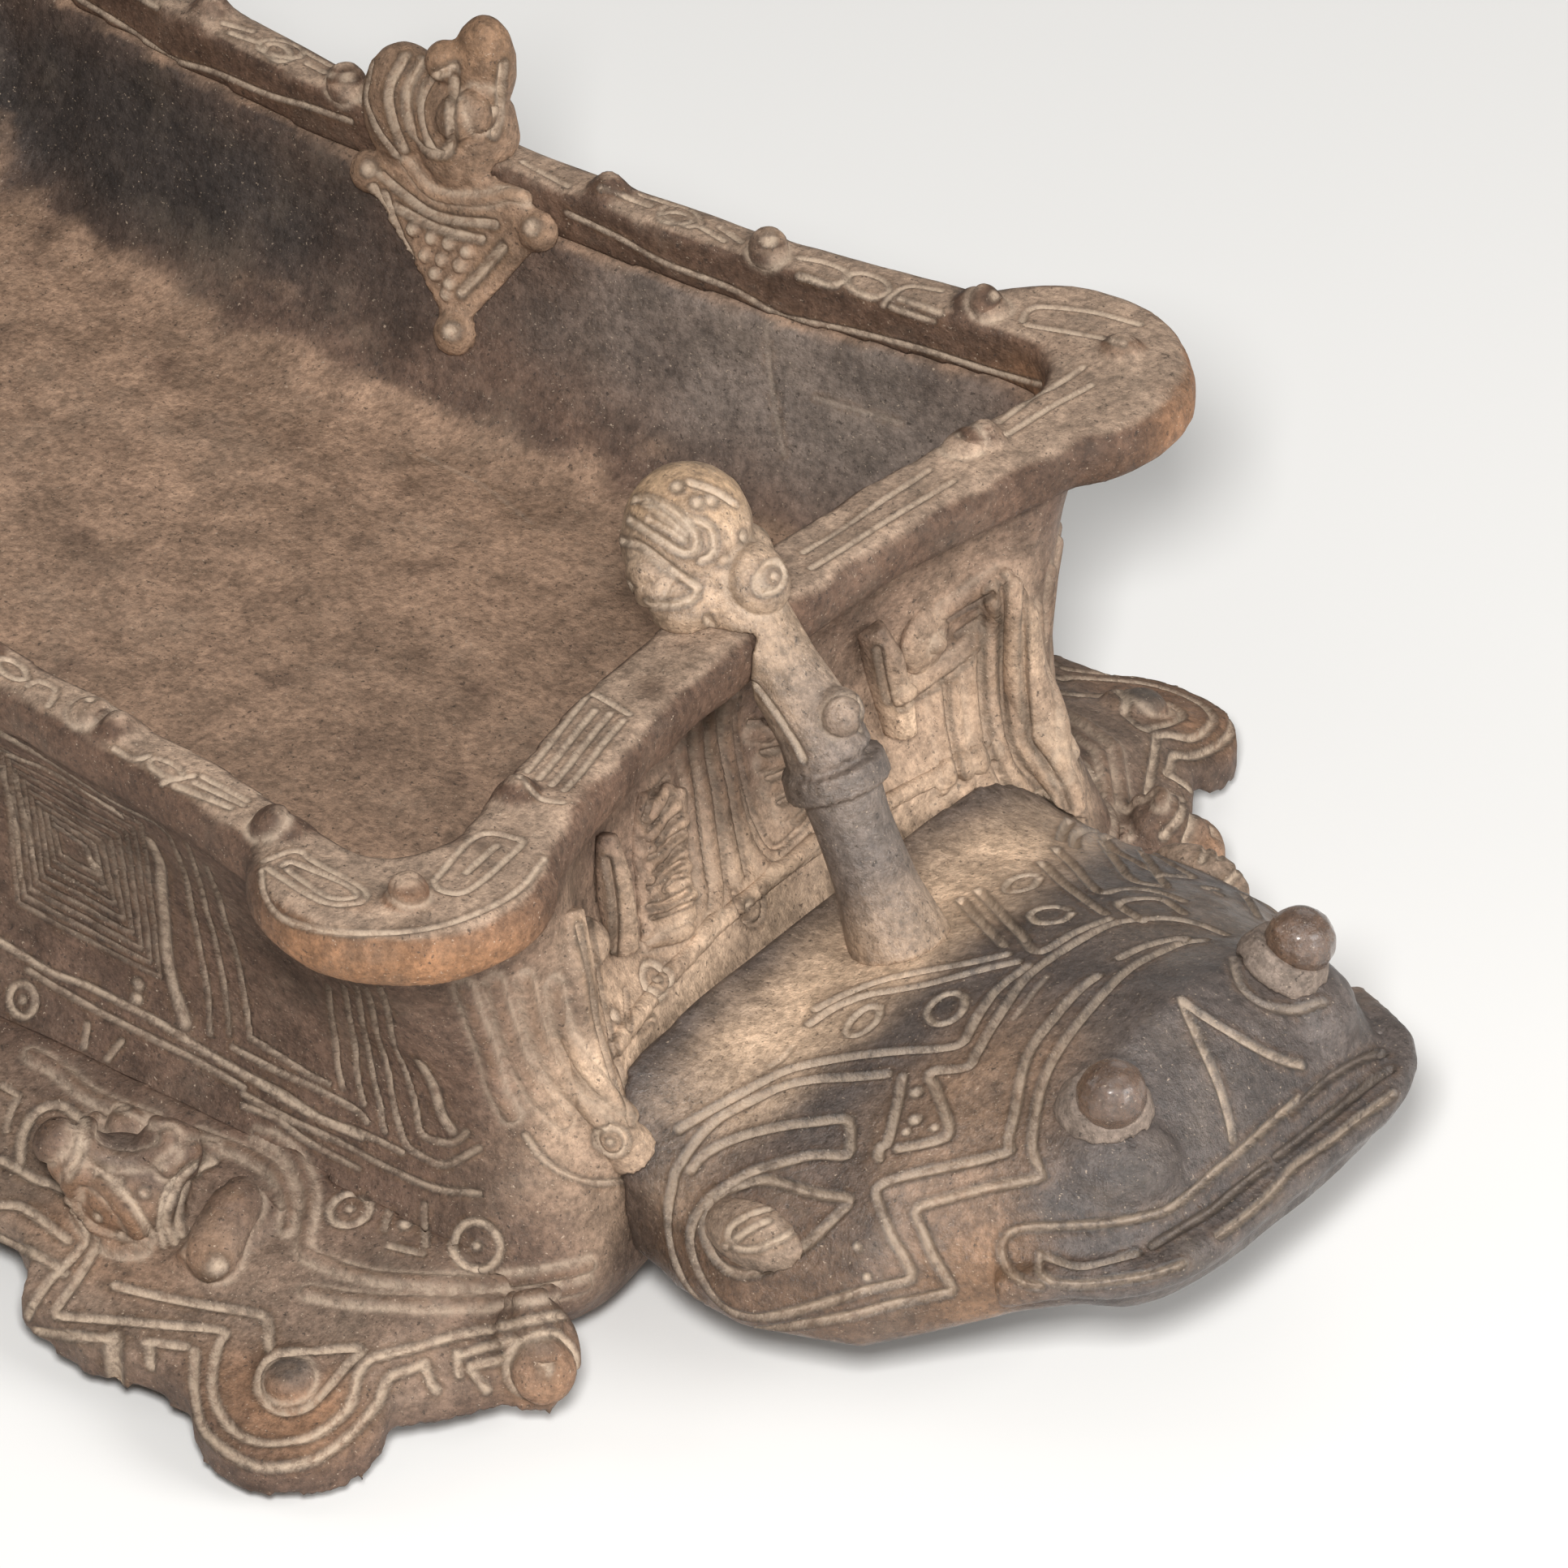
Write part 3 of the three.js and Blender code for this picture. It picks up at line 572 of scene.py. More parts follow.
class Nodes:
    """Short names for the nodes of a material."""

    def __init__(self, material):
        material.use_nodes = True
        self.tree = material.node_tree
        self.tree.nodes.clear()

    def new(self, kind):
        return self.tree.nodes.new(kind)

    def link(self, value, socket):
        if hasattr(value, "is_output"):
            self.tree.links.new(value, socket)
        else:
            socket.default_value = value

    def surface(self):
        """The shader at the material's output."""
        shader = self.new("ShaderNodeBsdfPrincipled")
        self.link(shader.outputs["BSDF"], self.new("ShaderNodeOutputMaterial").inputs["Surface"])
        return shader

    def attribute(self, name, colour=False):
        node = self.new("ShaderNodeAttribute")
        node.attribute_name = name
        return node.outputs["Color" if colour else "Fac"]

    def noise(self, scale, detail=4.0, rough=0.55, stretch=(1, 1, 1)):
        place = self.new("ShaderNodeMapping")
        self.link(self.new("ShaderNodeTexCoord").outputs["Object"], place.inputs["Vector"])
        fill(place, {"Scale": stretch})
        node = self.new("ShaderNodeTexNoise")
        self.link(place.outputs["Vector"], node.inputs["Vector"])
        fill(node, {"Scale": scale, "Detail": detail, "Roughness": rough})
        return node.outputs["Fac"]

    def span(self, value, low, high, to_low=0.0, to_high=1.0):
        """Takes low and high to two other numbers, smoothly."""
        node = self.new("ShaderNodeMapRange")
        node.interpolation_type = "SMOOTHSTEP"
        self.link(value, node.inputs["Value"])
        fill(node, {"From Min": low, "From Max": high, "To Min": to_low, "To Max": to_high})
        return node.outputs["Result"]

    def math(self, kind, a, b):
        node = self.new("ShaderNodeMath")
        node.operation = kind
        self.link(a, node.inputs[0])
        self.link(b, node.inputs[1])
        return node.outputs[0]

    def mix(self, share, a, b, kind="MIX"):
        node = self.new("ShaderNodeMix")
        node.data_type = "RGBA"
        node.blend_type = kind
        self.link(share, node.inputs[0])
        for value, socket in ((a, node.inputs[6]), (b, node.inputs[7])):
            self.link((*value, 1.0) if isinstance(value, tuple) else value, socket)
        return node.outputs[2]

    def grey(self, value):
        node = self.new("ShaderNodeCombineColor")
        for socket in node.inputs[:3]:
            self.link(value, socket)
        return node.outputs[0]


DUST = (0.48, 0.372, 0.275)
PIT = (0.03, 0.022, 0.017)
WEAR_COVER, PIT_COVER, FLECK_COVER, DUST_COVER = 0.62, 0.7, 0.6, 0.85
DUST_ROUGHNESS, COAT_ROUGHNESS = 0.2, 0.22
FINE_GRAIN, BUMP_STRENGTH, BUMP_METRES = 0.45, 0.8, 0.001


def clay(name, slot=None, worn=(0.28, 0.16, 0.085), rough=(0.5, 0.78), film=0.1, polish=0.3, coat=0.0):
    """Fired clay, with its slot: the piece's tint with mottling, grain, wear, pits, flecks and dust."""
    m = bpy.data.materials.new(name)
    n = Nodes(m)
    shader = n.surface()
    mottle = n.span(n.noise(75, 8, 0.72), 0.3, 0.7, 0.7, 1.3)
    grain = n.span(n.noise(420, 9, 0.76), 0.32, 0.68, 0.62, 1.38)
    colour = n.mix(1.0, n.attribute("tint", True), n.grey(n.math("MULTIPLY", mottle, grain)), "MULTIPLY")
    wear = n.math("MULTIPLY", n.attribute("wear"), n.span(n.noise(260, 4), 0.38, 0.62, 0.1, 1.0))
    colour = n.mix(n.math("MULTIPLY", wear, WEAR_COVER), colour, worn)
    haze = n.math("MULTIPLY", n.span(n.noise(34, 5, 0.7), 0.48, 0.72), film)
    colour = n.mix(haze, colour, DUST)
    pits = n.span(n.noise(800, 3, 0.6), 0.61, 0.7)
    colour = n.mix(n.math("MULTIPLY", pits, PIT_COVER), colour, PIT)
    flecks = n.span(n.noise(1100, 3, 0.6, (1, 1, 1.3)), 0.64, 0.72)
    colour = n.mix(n.math("MULTIPLY", flecks, FLECK_COVER), colour, DUST)
    patchy = n.span(n.noise(320, 7, 0.72), 0.36, 0.58, 0.32, 1.0)
    dust = n.math("MULTIPLY", n.attribute("dust"), patchy)
    colour = n.mix(n.math("MULTIPLY", dust, DUST_COVER), colour, DUST)
    n.link(colour, shader.inputs["Base Color"])
    gloss = n.span(n.noise(120, 5, 0.6), 0.3, 0.7, rough[0], rough[1])
    n.link(n.math("ADD", gloss, n.math("MULTIPLY", dust, DUST_ROUGHNESS)), shader.inputs["Roughness"])
    fill(shader, {"Specular IOR Level": polish, "Coat Weight": coat, "Coat Roughness": COAT_ROUGHNESS})
    height = n.math("ADD", n.noise(330, 6, 0.6), n.math("MULTIPLY", n.noise(1300, 4, 0.7), FINE_GRAIN))
    bump = n.new("ShaderNodeBump")
    fill(bump, {"Strength": BUMP_STRENGTH, "Distance": BUMP_METRES})
    n.link(height, bump.inputs["Height"])
    n.link(bump.outputs["Normal"], shader.inputs["Normal"])
    return m, slot or name


BROWN = clay("brown_clay")
RIM = clay("rim_clay")
TAN = clay("tan_clay", worn=(0.38, 0.24, 0.14))
ADORNO = clay("adorno_clay", worn=(0.36, 0.21, 0.11))
GLOSSY = clay("rubbed_clay", "adorno_clay", (0.30, 0.16, 0.08), (0.14, 0.34), 0.04, 0.7, 0.7)
DARK = clay("burnished_dark_clay", worn=(0.26, 0.15, 0.085), rough=(0.27, 0.52), polish=0.5)

# Paths of the vessel's lines, as pixels of the photograph: x, y, x, y and so on. A name stands
# before the first path of its kind. Rings are x, y and radius; ovals are x, y, long, short and
# tilt in degrees.

HEAD_LINES = """
cheek_upper 838 1392 870 1372 900 1355 940 1334 980 1317 1045 1302 1106 1295 1150 1292 1177 1288 1188 1282
  1206 1250 1232 1218 1267 1191
cheek_second 833 1446 852 1415 875 1388 898 1371 958 1343 1006 1331 1052 1327 1100 1322
stem_left 1112 1327 1108 1350 1102 1377 1094 1410 1084 1416 1086 1434
stem_right 1510 1152 1476 1139 1441 1132 1406 1133 1371 1139 1332 1159 1297 1180 1267 1204 1241 1239
  1219 1270 1202 1302 1192 1316 1145 1321 1152 1338 1164 1369 1171 1392 1166 1402 1137 1411 1102 1417
key 852 1442 870 1422 900 1406 929 1396 968 1388 1006 1383 1043 1379 1048 1388 1048 1419 1043 1425 1006 1424
  975 1431 929 1444 902 1458 875 1477 857 1500 850 1527 856 1554 872 1585 895 1610 925 1621 960 1619
  1006 1608 1060 1592 1106 1581 1124 1575 1118 1554 1098 1519 1087 1488 1081 1473 1084 1463 1106 1454
  1145 1444 1195 1433 1246 1420 1243 1412 1252 1370 1260 1326 1273 1291 1297 1257 1328 1222 1358 1200
frame 833 1446 824 1485 822 1515 829 1550 848 1585 875 1611 902 1630 941 1635 991 1630 1052 1620 1106 1606
  1168 1593 1173 1589 1168 1577 1152 1550 1139 1519 1129 1496 1133 1488 1175 1475 1222 1463 1268 1454
  1284 1450 1273 1417 1276 1378 1284 1339 1302 1300 1328 1261 1363 1222 1397 1191 1432 1172 1458 1161
  1484 1159
arc_inner 1380 1180 1406 1167 1441 1157 1467 1156
bean_ring 875 1481 868 1500 870 1525 880 1548 898 1565 925 1569 960 1556 998 1531 1022 1508 1048 1483
  1045 1477 1006 1471 975 1462 945 1454 915 1460 890 1470 875 1481
"""
CROWN_LINES = """
edge 998 1262 1029 1242 1068 1227 1106 1220 1145 1212 1183 1202 1222 1192 1260 1184
edge_fine 1006 1244 1045 1225 1091 1208 1145 1196 1191 1187 1241 1176
panel_left_outer 1184 1109 1206 1135 1237 1165
panel_left 1206 1098 1232 1126 1258 1152 1279 1174 1323 1152 1367 1133
panel_right 1284 1063 1310 1087 1337 1109 1367 1130
step_near 1302 1046 1323 1065 1341 1085 1358 1100 1384 1094 1423 1098 1458 1111
step_middle 1360 1037 1376 1061 1397 1083 1437 1093
step_far 1400 1037 1415 1061 1437 1091
small_v 1408 1135 1378 1112 1428 1108 1458 1126
nose_v_near 1456 1236 1467 1261 1484 1300 1502 1343 1513 1383 1517 1411
nose_v_far 1456 1234 1476 1248 1510 1270 1545 1291 1580 1307 1610 1314
"""
LIP_LINES = """
upper 1282 1585 1262 1580 1243 1563 1234 1541 1241 1522 1263 1513 1310 1511 1363 1507 1406 1500 1437 1491
  1467 1470 1497 1443 1528 1417 1558 1391 1606 1350
slit 1290 1548 1328 1559 1363 1554 1406 1543
lower_near 1282 1546 1280 1561 1293 1578 1328 1583 1380 1577 1423 1570 1458 1558
lower_far 1502 1522 1528 1504 1563 1474 1597 1435 1641 1404 1680 1374 1719 1348
"""
MOUTH_LINES = """
slit_far 1420 1535 1458 1512 1493 1491 1519 1470 1560 1437
middle 1571 1426 1606 1400 1650 1365 1693 1330 1719 1313
top 1593 1370 1637 1330 1680 1304 1710 1296
"""
FAR_EYE_FOOT = "1520 1180 1530 1215 1556 1238 1595 1245 1630 1235"
HEAD_FAINT_LINES = """
hook 950 1315 970 1300 979 1285
temple 1250 1255 1270 1230 1290 1205
"""
HEAD_OVALS = ((1064, 1257, 26, 11, -38), (1166, 1242, 26, 16, -30), (1260, 1089, 23, 9, -18),
              (1295, 1129, 26, 10, -4))
HEAD_DOTS = "1129 1346 1128 1380"
HEAD_FINE_DOTS = "1117 1395 1152 1390 1058 1537 1069 1574 930 1443"
CHEEK_BOSS_LINES = """
ring 925 1496 952 1488 979 1485 991 1492 989 1508 960 1528 925 1540 902 1535 898 1515 925 1496
split 893 1537 925 1515 952 1502
"""
RIM_LINES = """
bracket 35 845 45 838 70 850 60 870
140 922 165 935 190 928
200 965 215 960 245 956
fine 250 958 310 990
215 968 290 998
240 965 300 992
slot_outer 325 1060 365 1047 385 1060 450 1100 440 1115 395 1112 330 1070
slot_inner 348 1066 362 1062 440 1102 405 1108 350 1068
slot 535 1085 590 1030 640 1035 640 1045 575 1098 540 1095 535 1085
slot_middle 575 1075 612 1043
lobe_edge 322 1072 325 1100 345 1130 400 1147 460 1150 540 1141 600 1120 645 1092 670 1060
front 650 950 722 862
664 960 737 872
680 968 752 880
696 975 768 888
front_end 636 955 665 985 700 992
front_far_end 700 850 735 858 775 880
far_bracket 985 318 1020 325 1045 338 1030 352 985 340
1090 375 1105 362 1120 355 1160 360
far_fine 1110 370 1165 388
1100 378 1150 395
far_slot 1260 395 1275 378 1340 385 1405 400
1265 400 1340 415 1390 425
far_inner 700 262 760 290 820 322 900 355 960 385 1040 405 1120 425 1200 450 1290 475
far_front 1230 520 1290 482 1340 450
1240 535 1300 500 1345 475
990 680 1060 635 1150 575
1000 700 1080 650 1180 590
far_bars 275 30 318 42
285 42 325 56
372 62 408 80
378 78 412 94
far_lug 640 170 680 185 740 210
645 200 700 230
"""
RIM_OVALS = ((205, 947, 25, 9, 28), (15, 825, 22, 9, 28), (1070, 352, 28, 13, 18), (840, 268, 26, 11, 22),
             (343, 66, 18, 9, 25))
RIM_KNOBS = "112 878 328 1010 506 1090 947 305 1220 374 1187 549 428 103 710 856"
RIM_DIMPLES = "112 872 325 1003 508 1084 947 299 1218 370 1187 545 427 99 710 851"
WALL_PANEL_INNER = "65 1015 105 1043 118 1078 74 1053"
WALL_PANEL_OUTER = "2 920 174 1015 198 1203 22 1112"
WALL_PANEL_COUNT = 8
WALL_PANEL_LENS = "111 1060 121 1076"
WALL_BORDERS = """
top 2 903 100 965 180 1010 205 1030
top_inner 2 925 60 950 150 1005
bottom 2 1161 60 1195 110 1215 160 1240 200 1262 260 1300 320 1335 370 1365 410 1385 450 1405
"""
WALL_LINES = """
left 2 945 12 990 20 1040 25 1085
18 950 28 1000 38 1050 45 1080
upright 205 1030 222 1060 230 1085 236 1120 246 1170 254 1210 258 1280
228 1040 243 1075 254 1120 265 1165 275 1210 281 1275
255 1068 270 1105 282 1150 295 1200 303 1240 308 1280
lower 35 1195 80 1222 130 1250 200 1285 240 1305 300 1340
308 1278 340 1297 380 1322 412 1337
285 1290 340 1318 400 1345 440 1368 452 1382
270 1305 300 1322 350 1347 400 1378 450 1398 480 1412 495 1420
300 1348 350 1375 400 1398 450 1425 500 1450 540 1465 590 1470
300 1362 340 1378 370 1400 400 1418 440 1440
slant 405 1215 413 1270 417 1310 425 1345
425 1215 437 1280 441 1320 450 1365
440 1215 452 1280 460 1320 470 1360 472 1390 480 1395
452 1215 468 1280 478 1315 485 1350 492 1385 500 1410 520 1425 550 1435 590 1415
470 1215 485 1280 500 1320 512 1360 518 1395 535 1405 560 1408 575 1395
corner 648 1398 672 1430 705 1450 745 1458 785 1448 812 1430
stroke 108 1262 104 1290
150 1283 132 1305
480 1490 472 1520
522 1485 525 1535
480 1535 520 1545
hook 2 1337 25 1352 20 1355 10 1380 8 1400
"""
WALL_SOFT_LINES = """
soft 185 1035 195 1060 200 1100 205 1160 215 1215 228 1260
520 1310 535 1340 545 1375 560 1395
"""
WALL_RIDGES = """
band 40 1300 75 1320 105 1345 140 1362 165 1372 200 1385 240 1398 275 1412 310 1425 335 1440 350 1460
  357 1490 355 1520
320 1400 345 1410 365 1430 375 1450 382 1480 378 1510 375 1540 385 1550 440 1570 500 1578 600 1580 680 1570
  730 1558
380 1592 440 1602 520 1606 600 1604 680 1592 720 1582
"""
CORNER_RIDGES = """
ridge 682 1212 693 1262 716 1306 750 1346 792 1384
646 1206 658 1262 682 1316 714 1356 740 1384
608 1208 624 1264 642 1312 664 1350 698 1386
572 1215 588 1262 604 1306 612 1340 630 1372
"""
WALL_RINGS = ((28, 1232, 17), (431, 1490, 21), (588, 1535, 25))
WALL_DOTS = "172 1212 170 1230 500 1508 117 1068"
WALL_CLEFT = """
bean 25 1440 28 1400 45 1370 75 1362 100 1385 98 1420 85 1445
twin 265 1432 235 1450 222 1480 220 1510 228 1533
250 1430 225 1447 208 1480 203 1505 215 1530
"""
BEAN_BOSS = (68, 1405)
BEAN_DIMPLE = "62 1388"
FRONT_RIDGES = """
comb_edge 838 925 846 955 850 990 854 1030 860 1070 864 1105 858 1130 840 1150 800 1162
wave 858 890 862 930 868 975 873 1020 879 1065 883 1100 877 1130 862 1155
874 875 878 920 886 965 894 1010 902 1050 908 1080
900 862 894 885 897 930 903 975 913 1015 925 1045 942 1066 962 1070 985 1053 1008 1030
finger 924 903 946 905
936 941 960 938
946 972 968 966
962 1002 978 994
984 1012 998 1001
"""
FRONT_GROOVES = """
wave 849 905 853 950 857 1000 862 1050 869 1090
866 868 869 915 877 965 884 1015 890 1060 893 1090
887 860 885 900 891 945 899 990 909 1035 918 1075
foot 770 1220 775 1268
785 1270 810 1252
foot_v 905 1100 914 1126 926 1141 940 1128 940 1090
bend 909 862 904 890 909 930 919 975 933 1015 948 1041 962 1042 985 1020 1002 1000
dash 922 890 945 889
938 927 965 922
945 960 970 951
960 990 985 976
978 1013 1000 991
"""
FAR_FRONT_RIDGES = """
plate 1112 862 1145 836 1180 812 1200 798 1207 775
upper 1160 752 1190 734 1215 720 1238 706
upright 1221 745 1221 800 1221 850 1226 895 1236 935 1252 965 1270 983
1249 722 1247 780 1246 830 1250 880 1257 915 1277 945 1298 972
1280 908 1302 935 1320 965 1330 1000
inner 1152 850 1156 890 1164 930 1170 958 1156 974
1173 830 1175 880 1183 930 1192 965 1180 986 1155 1000
1193 815 1195 870 1201 920 1211 960 1226 990
foot 1170 1012 1192 1020 1215 1038 1250 1040
"""
FAR_FRONT_GROOVES = """
plate 1110 873 1145 847 1180 823 1204 801
upright 1209 772 1209 850 1213 895 1222 935 1238 970 1256 995
1235 716 1234 780 1233 830 1237 885 1243 918 1259 945 1280 968
1262 730 1262 800 1264 860 1269 905 1289 940 1305 966 1316 995
band 1166 763 1195 746 1222 731
1180 782 1204 766 1216 757
inner 1162 842 1165 890 1174 930 1182 962
"""
BASIN_SCRATCHES = """
scratch 945 400 950 470 965 560
1005 490 1060 505 1110 520
520 560 600 600 660 650
"""
COMB_GROOVES = """
edge 793 1012 800 985 818 962 826 954
796 1020 812 1000 822 988 832 978
806 1042 818 1020 830 1008 840 1000
800 1056 815 1042 830 1030 843 1022
806 1078 820 1060 832 1046 846 1034
800 1093 815 1078 830 1066 843 1058
815 1100 818 1088 830 1080 846 1076
800 1117 820 1112 840 1102 850 1094
803 1130 825 1123 852 1112
"""
COMB_FINGERS = """
finger 796 1016 808 993 826 966
800 1030 815 1010 836 988
804 1048 820 1030 842 1010
802 1066 822 1048 846 1026
804 1086 825 1066 846 1046
808 1098 825 1080 846 1067
812 1108 830 1096 850 1084
804 1123 826 1115 852 1102
"""
BAND_GROOVES = """
groove 724 1130 733 1180 742 1230 756 1290 775 1350 790 1388
712 1140 720 1190 730 1240 745 1300 762 1350 778 1385
"""
LOOP_SLOT = "748 1060 755 1100 758 1140 756 1172"
FAR_LOOP_SLOT = "1082 800 1087 835 1095 870"
FRONT_RINGS = ((752, 1408, 17), (810, 1207, 19), (1288, 994, 19))
FRONT_DOTS = "757 1252 923 1117"
FRONT_DISC = (1142, 788)
FRONT_DISC_PELLET = (1154, 793, 2.4, 2.2)
LEDGE_LINES = """
bracket 2 1431 45 1455 75 1465 100 1495 110 1520 95 1545 60 1580 35 1620 30 1635 45 1640 120 1650 140 1650
step 120 1535 100 1570 72 1610 68 1620 85 1623 180 1632 272 1639 268 1660 262 1700 268 1735 290 1765
  320 1780 350 1780 390 1768 430 1735 440 1700 450 1680 465 1672 510 1662 560 1648 620 1635 680 1622
  705 1621
lobe 240 1665 240 1720 250 1760 275 1785 310 1805 345 1808 390 1798 430 1770 465 1730 478 1700 500 1690
  520 1683
long 143 1585 160 1590 240 1606 320 1620 330 1630 332 1665
teardrop 340 1670 325 1680 318 1705 328 1730 350 1743 380 1735 405 1710 430 1680 445 1662 380 1665 340 1668
stripe 2 1486 30 1490 85 1530
2 1526 60 1555 80 1570
front 565 1672 600 1660 636 1651
580 1685 605 1679 628 1672
notch 185 1660 187 1690
180 1655 235 1660
523 1680 528 1700 540 1718
563 1668 565 1695
580 1690 600 1712
"""
LEDGE_WIDE_LINES = "140 1652 142 1700"
LEDGE_KNOB = (672, 1690)
LEDGE_KNOB_EDGE = 40
LEDGE_DIMPLES = "668 1684 282 1468 264 1560 155 1372"
TWIN_BOSS = "286 1482 272 1508 266 1548"
LEDGE_ROUNDEL = (356, 1698)
ANIMAL_BALL = (155, 1385)
ANIMAL_COILS = """
coil 118 1380 104 1392 106 1410 130 1426 170 1430 205 1418 208 1402
92 1470 86 1456 100 1448 130 1462 158 1495 176 1528
90 1478 104 1505 126 1528 150 1540 172 1540
205 1440 235 1418 262 1420
"""
ANIMAL_LINES = """
crease 125 1442 160 1478 188 1520
222 1440 204 1470 196 1505 202 1535
"""
ANIMAL_DOTS = "122 1443 146 1457 178 1469 120 1500 150 1520"
FIGURE_LINES = """
curl 780 615 800 615 830 630 855 655 860 670 850 682 835 678 800 655 775 640
800 640 830 655 848 668
795 618 825 640 850 662
brow 760 665 790 672 820 695 840 710 860 725
eye_almond 830 705 860 725 845 742 810 745 790 735
crest 850 595 880 605 910 625
stem 850 640 875 650 880 680 865 690
snout 870 760 890 790 910 820 935 850 960 885 985 925 990 935
nostril 1060 862 1060 898
"""
FIGURE_DOTS = "835 600 859 620 876 618 914 661 996 690 891 690 791 711 970 735 757 815"
FIGURE_RING = (936, 716, 14)
FIGURE_EYES = ((800, 714, 6.4, 4.0), (938, 712, 8.4, 5.0))
FIGURE_NOSE = (1040, 886, 5.2, 1.6)
LUG_LINES = """
curl 458 80 450 120 465 160 490 195
500 70 480 110 485 150 500 190
520 75 503 110 505 150 520 180 540 190
oval 560 82 530 100 520 135 530 175 545 190 557 175 555 140 560 110 560 82
edge 620 80 610 165
arch 470 215 500 240 540 265 610 275
490 255 540 280 600 295
v_near 475 240 490 280 520 340 530 360
460 230 490 290 520 350
v_far 620 305 590 340 570 360
"""
LUG_RIDGE = "500 200 530 235 570 245 600 245 640 240 680 265 700 285"
LUG_EYE = (592, 134)
LUG_DOTS = "598 136 455 208 655 280 556 408"
LUG_STUDS = "510 282 533 293 554 300 576 310 525 315 545 320 567 327 537 337 555 350 551 362"


# Colours, and the zones that have them; places are measured from the basin's middle.

BODY_TINT = (0.108, 0.066, 0.046)
RIM_TINT = (0.10, 0.058, 0.038)
RIM_TOP = (0.30, 0.21, 0.148)
RIM_WORN = (0.255, 0.128, 0.063)
FLANGE_TINT = (0.185, 0.128, 0.092)
FLANGE_WARM = (0.21, 0.115, 0.066)
ROUNDEL_TINT = (0.08, 0.062, 0.05)
KNOB_TINT = (0.22, 0.125, 0.075)
ANIMAL_TINT = (0.115, 0.068, 0.045)
BOSS_TINT = (0.13, 0.10, 0.08)
HEAD_TINT = (0.074, 0.058, 0.050)
HEAD_BROWN = (0.115, 0.067, 0.041)
JAW_WARM = (0.16, 0.09, 0.05)
CROWN_NEAR = (0.2, 0.128, 0.084)
CROWN_FAR = (0.12, 0.086, 0.063)
MOUTH_DARK = (0.06, 0.05, 0.045)
EYE_RING_TINT = (0.19, 0.145, 0.115)
EYE_TINT = (0.105, 0.06, 0.037)
CHEEK_BOSS_TINT = (0.22, 0.155, 0.11)
FIGURE_TINT = (0.33, 0.23, 0.155)
COLUMN_GREY = (0.125, 0.098, 0.082)
FACE_WARM = (0.38, 0.25, 0.15)
LUG_TINT = (0.24, 0.152, 0.098)
LUG_TOP = (0.23, 0.135, 0.078)
FRONT_TINT = (0.62, 0.44, 0.30)
BASIN_TINT = (0.275, 0.176, 0.117)
BASIN_SOOT = (0.036, 0.028, 0.024)
BASIN_END = (0.14, 0.108, 0.088)
CORNER_BROWN = (0.105, 0.066, 0.045)
WALL_DARK = (0.062, 0.040, 0.030)
REDDISH = (0.19, 0.09, 0.058)


def zone(x, y, z, reach, colour):
    return (x + MID_X, y, z), reach, colour


def all_round(x, y, z, reach, colour):
    """The same zone at both ends and on both sides; an x or y of 0 is there once."""
    return [zone(at_x, at_y, z, reach, colour)
            for at_x in dict.fromkeys((x, -x)) for at_y in dict.fromkeys((y, -y))]


def both_sides(x, y, z, reach, near, far):
    return [zone(x, -y, z, reach, near), zone(x, y, z, reach, far)]


WALL_ZONES = [
    zone(-100, 112, 108, (130, 26, 28), BASIN_SOOT), zone(100, 114, 114, (80, 24, 30), BASIN_END),
    *all_round(205, 0, 85, (40, 108, 70), FRONT_TINT),
    *all_round(207, 120, 74, (46, 18, 74), CORNER_BROWN),
    *all_round(58, 132, 92, (36, 14, 34), WALL_DARK),
    *all_round(134, 131, 90, (13, 14, 26), REDDISH),
    *all_round(0, 150, 26, (260, 40, 16), FLANGE_TINT),
    *all_round(100, 158, 34, (40, 14, 12), FLANGE_WARM),
    *all_round(168, 172, 24, (30, 16, 12), FLANGE_WARM),
    *all_round(162, 162, 24, (7, 7, 6), ROUNDEL_TINT),
    *all_round(204, 124, 19, (11, 11, 9), KNOB_TINT),
    *all_round(122, 135, 32, (8, 8, 12), ANIMAL_TINT),
    *all_round(95, 141, 36, (15, 9, 12), BOSS_TINT)]
RIM_ZONES = all_round(192, 152, 134, (52, 40, 15), RIM_WORN)
HEAD_ZONES = [
    *both_sides(240, 88, 38, (46, 34, 28), HEAD_BROWN, HEAD_BROWN),
    *both_sides(282, 64, 46, (20, 24, 22), JAW_WARM, JAW_WARM),
    *both_sides(268, 44, 72, (24, 34, 30), CROWN_NEAR, CROWN_FAR),
    zone(210, 0, 90, (21, 105, 50), FRONT_TINT), zone(300, 0, 55, (20, 50, 8), MOUTH_DARK)]
FIGURE_ZONES = [zone(198, 0, 100, (24, 24, 40), COLUMN_GREY), zone(150, 0, 175, (24, 24, 12), FACE_WARM)]
LUG_ZONES = all_round(0, 118, 178, (60, 24, 12), LUG_TOP)

SIDES, ENDS = ("left", "right"), ("front", "rear")
ON_LEDGES = ("lobe_roundel", "flange_knob", "side_animal", "pair_boss")
EYE_SWELL, EYE_SINKS = 0.7, 2.6

# The front wall's reliefs with the rounds that smooth them, and what the wall's own skin carries.
RELIEFS = {"wall_loop": 5, "wall_comb": 30, "wall_knob": 5, "corner_band": 5}
CARRIED = ["wall_ledge", *[f"{node}_{side}" for node in ("wall_comb", "corner_band") for side in SIDES]]
wall = shell(["body", *CARRIED], 2.8, 14, [SWELL] + [TUCKED] * len(CARRIED))
reliefs = {f"{node}_{side}": shell([f"{node}_{side}"], 0.9, rounds)
           for node, rounds in RELIEFS.items() for side in SIDES}
reliefs["wall_ledge"] = shell(["wall_ledge"], 1.0, 4)


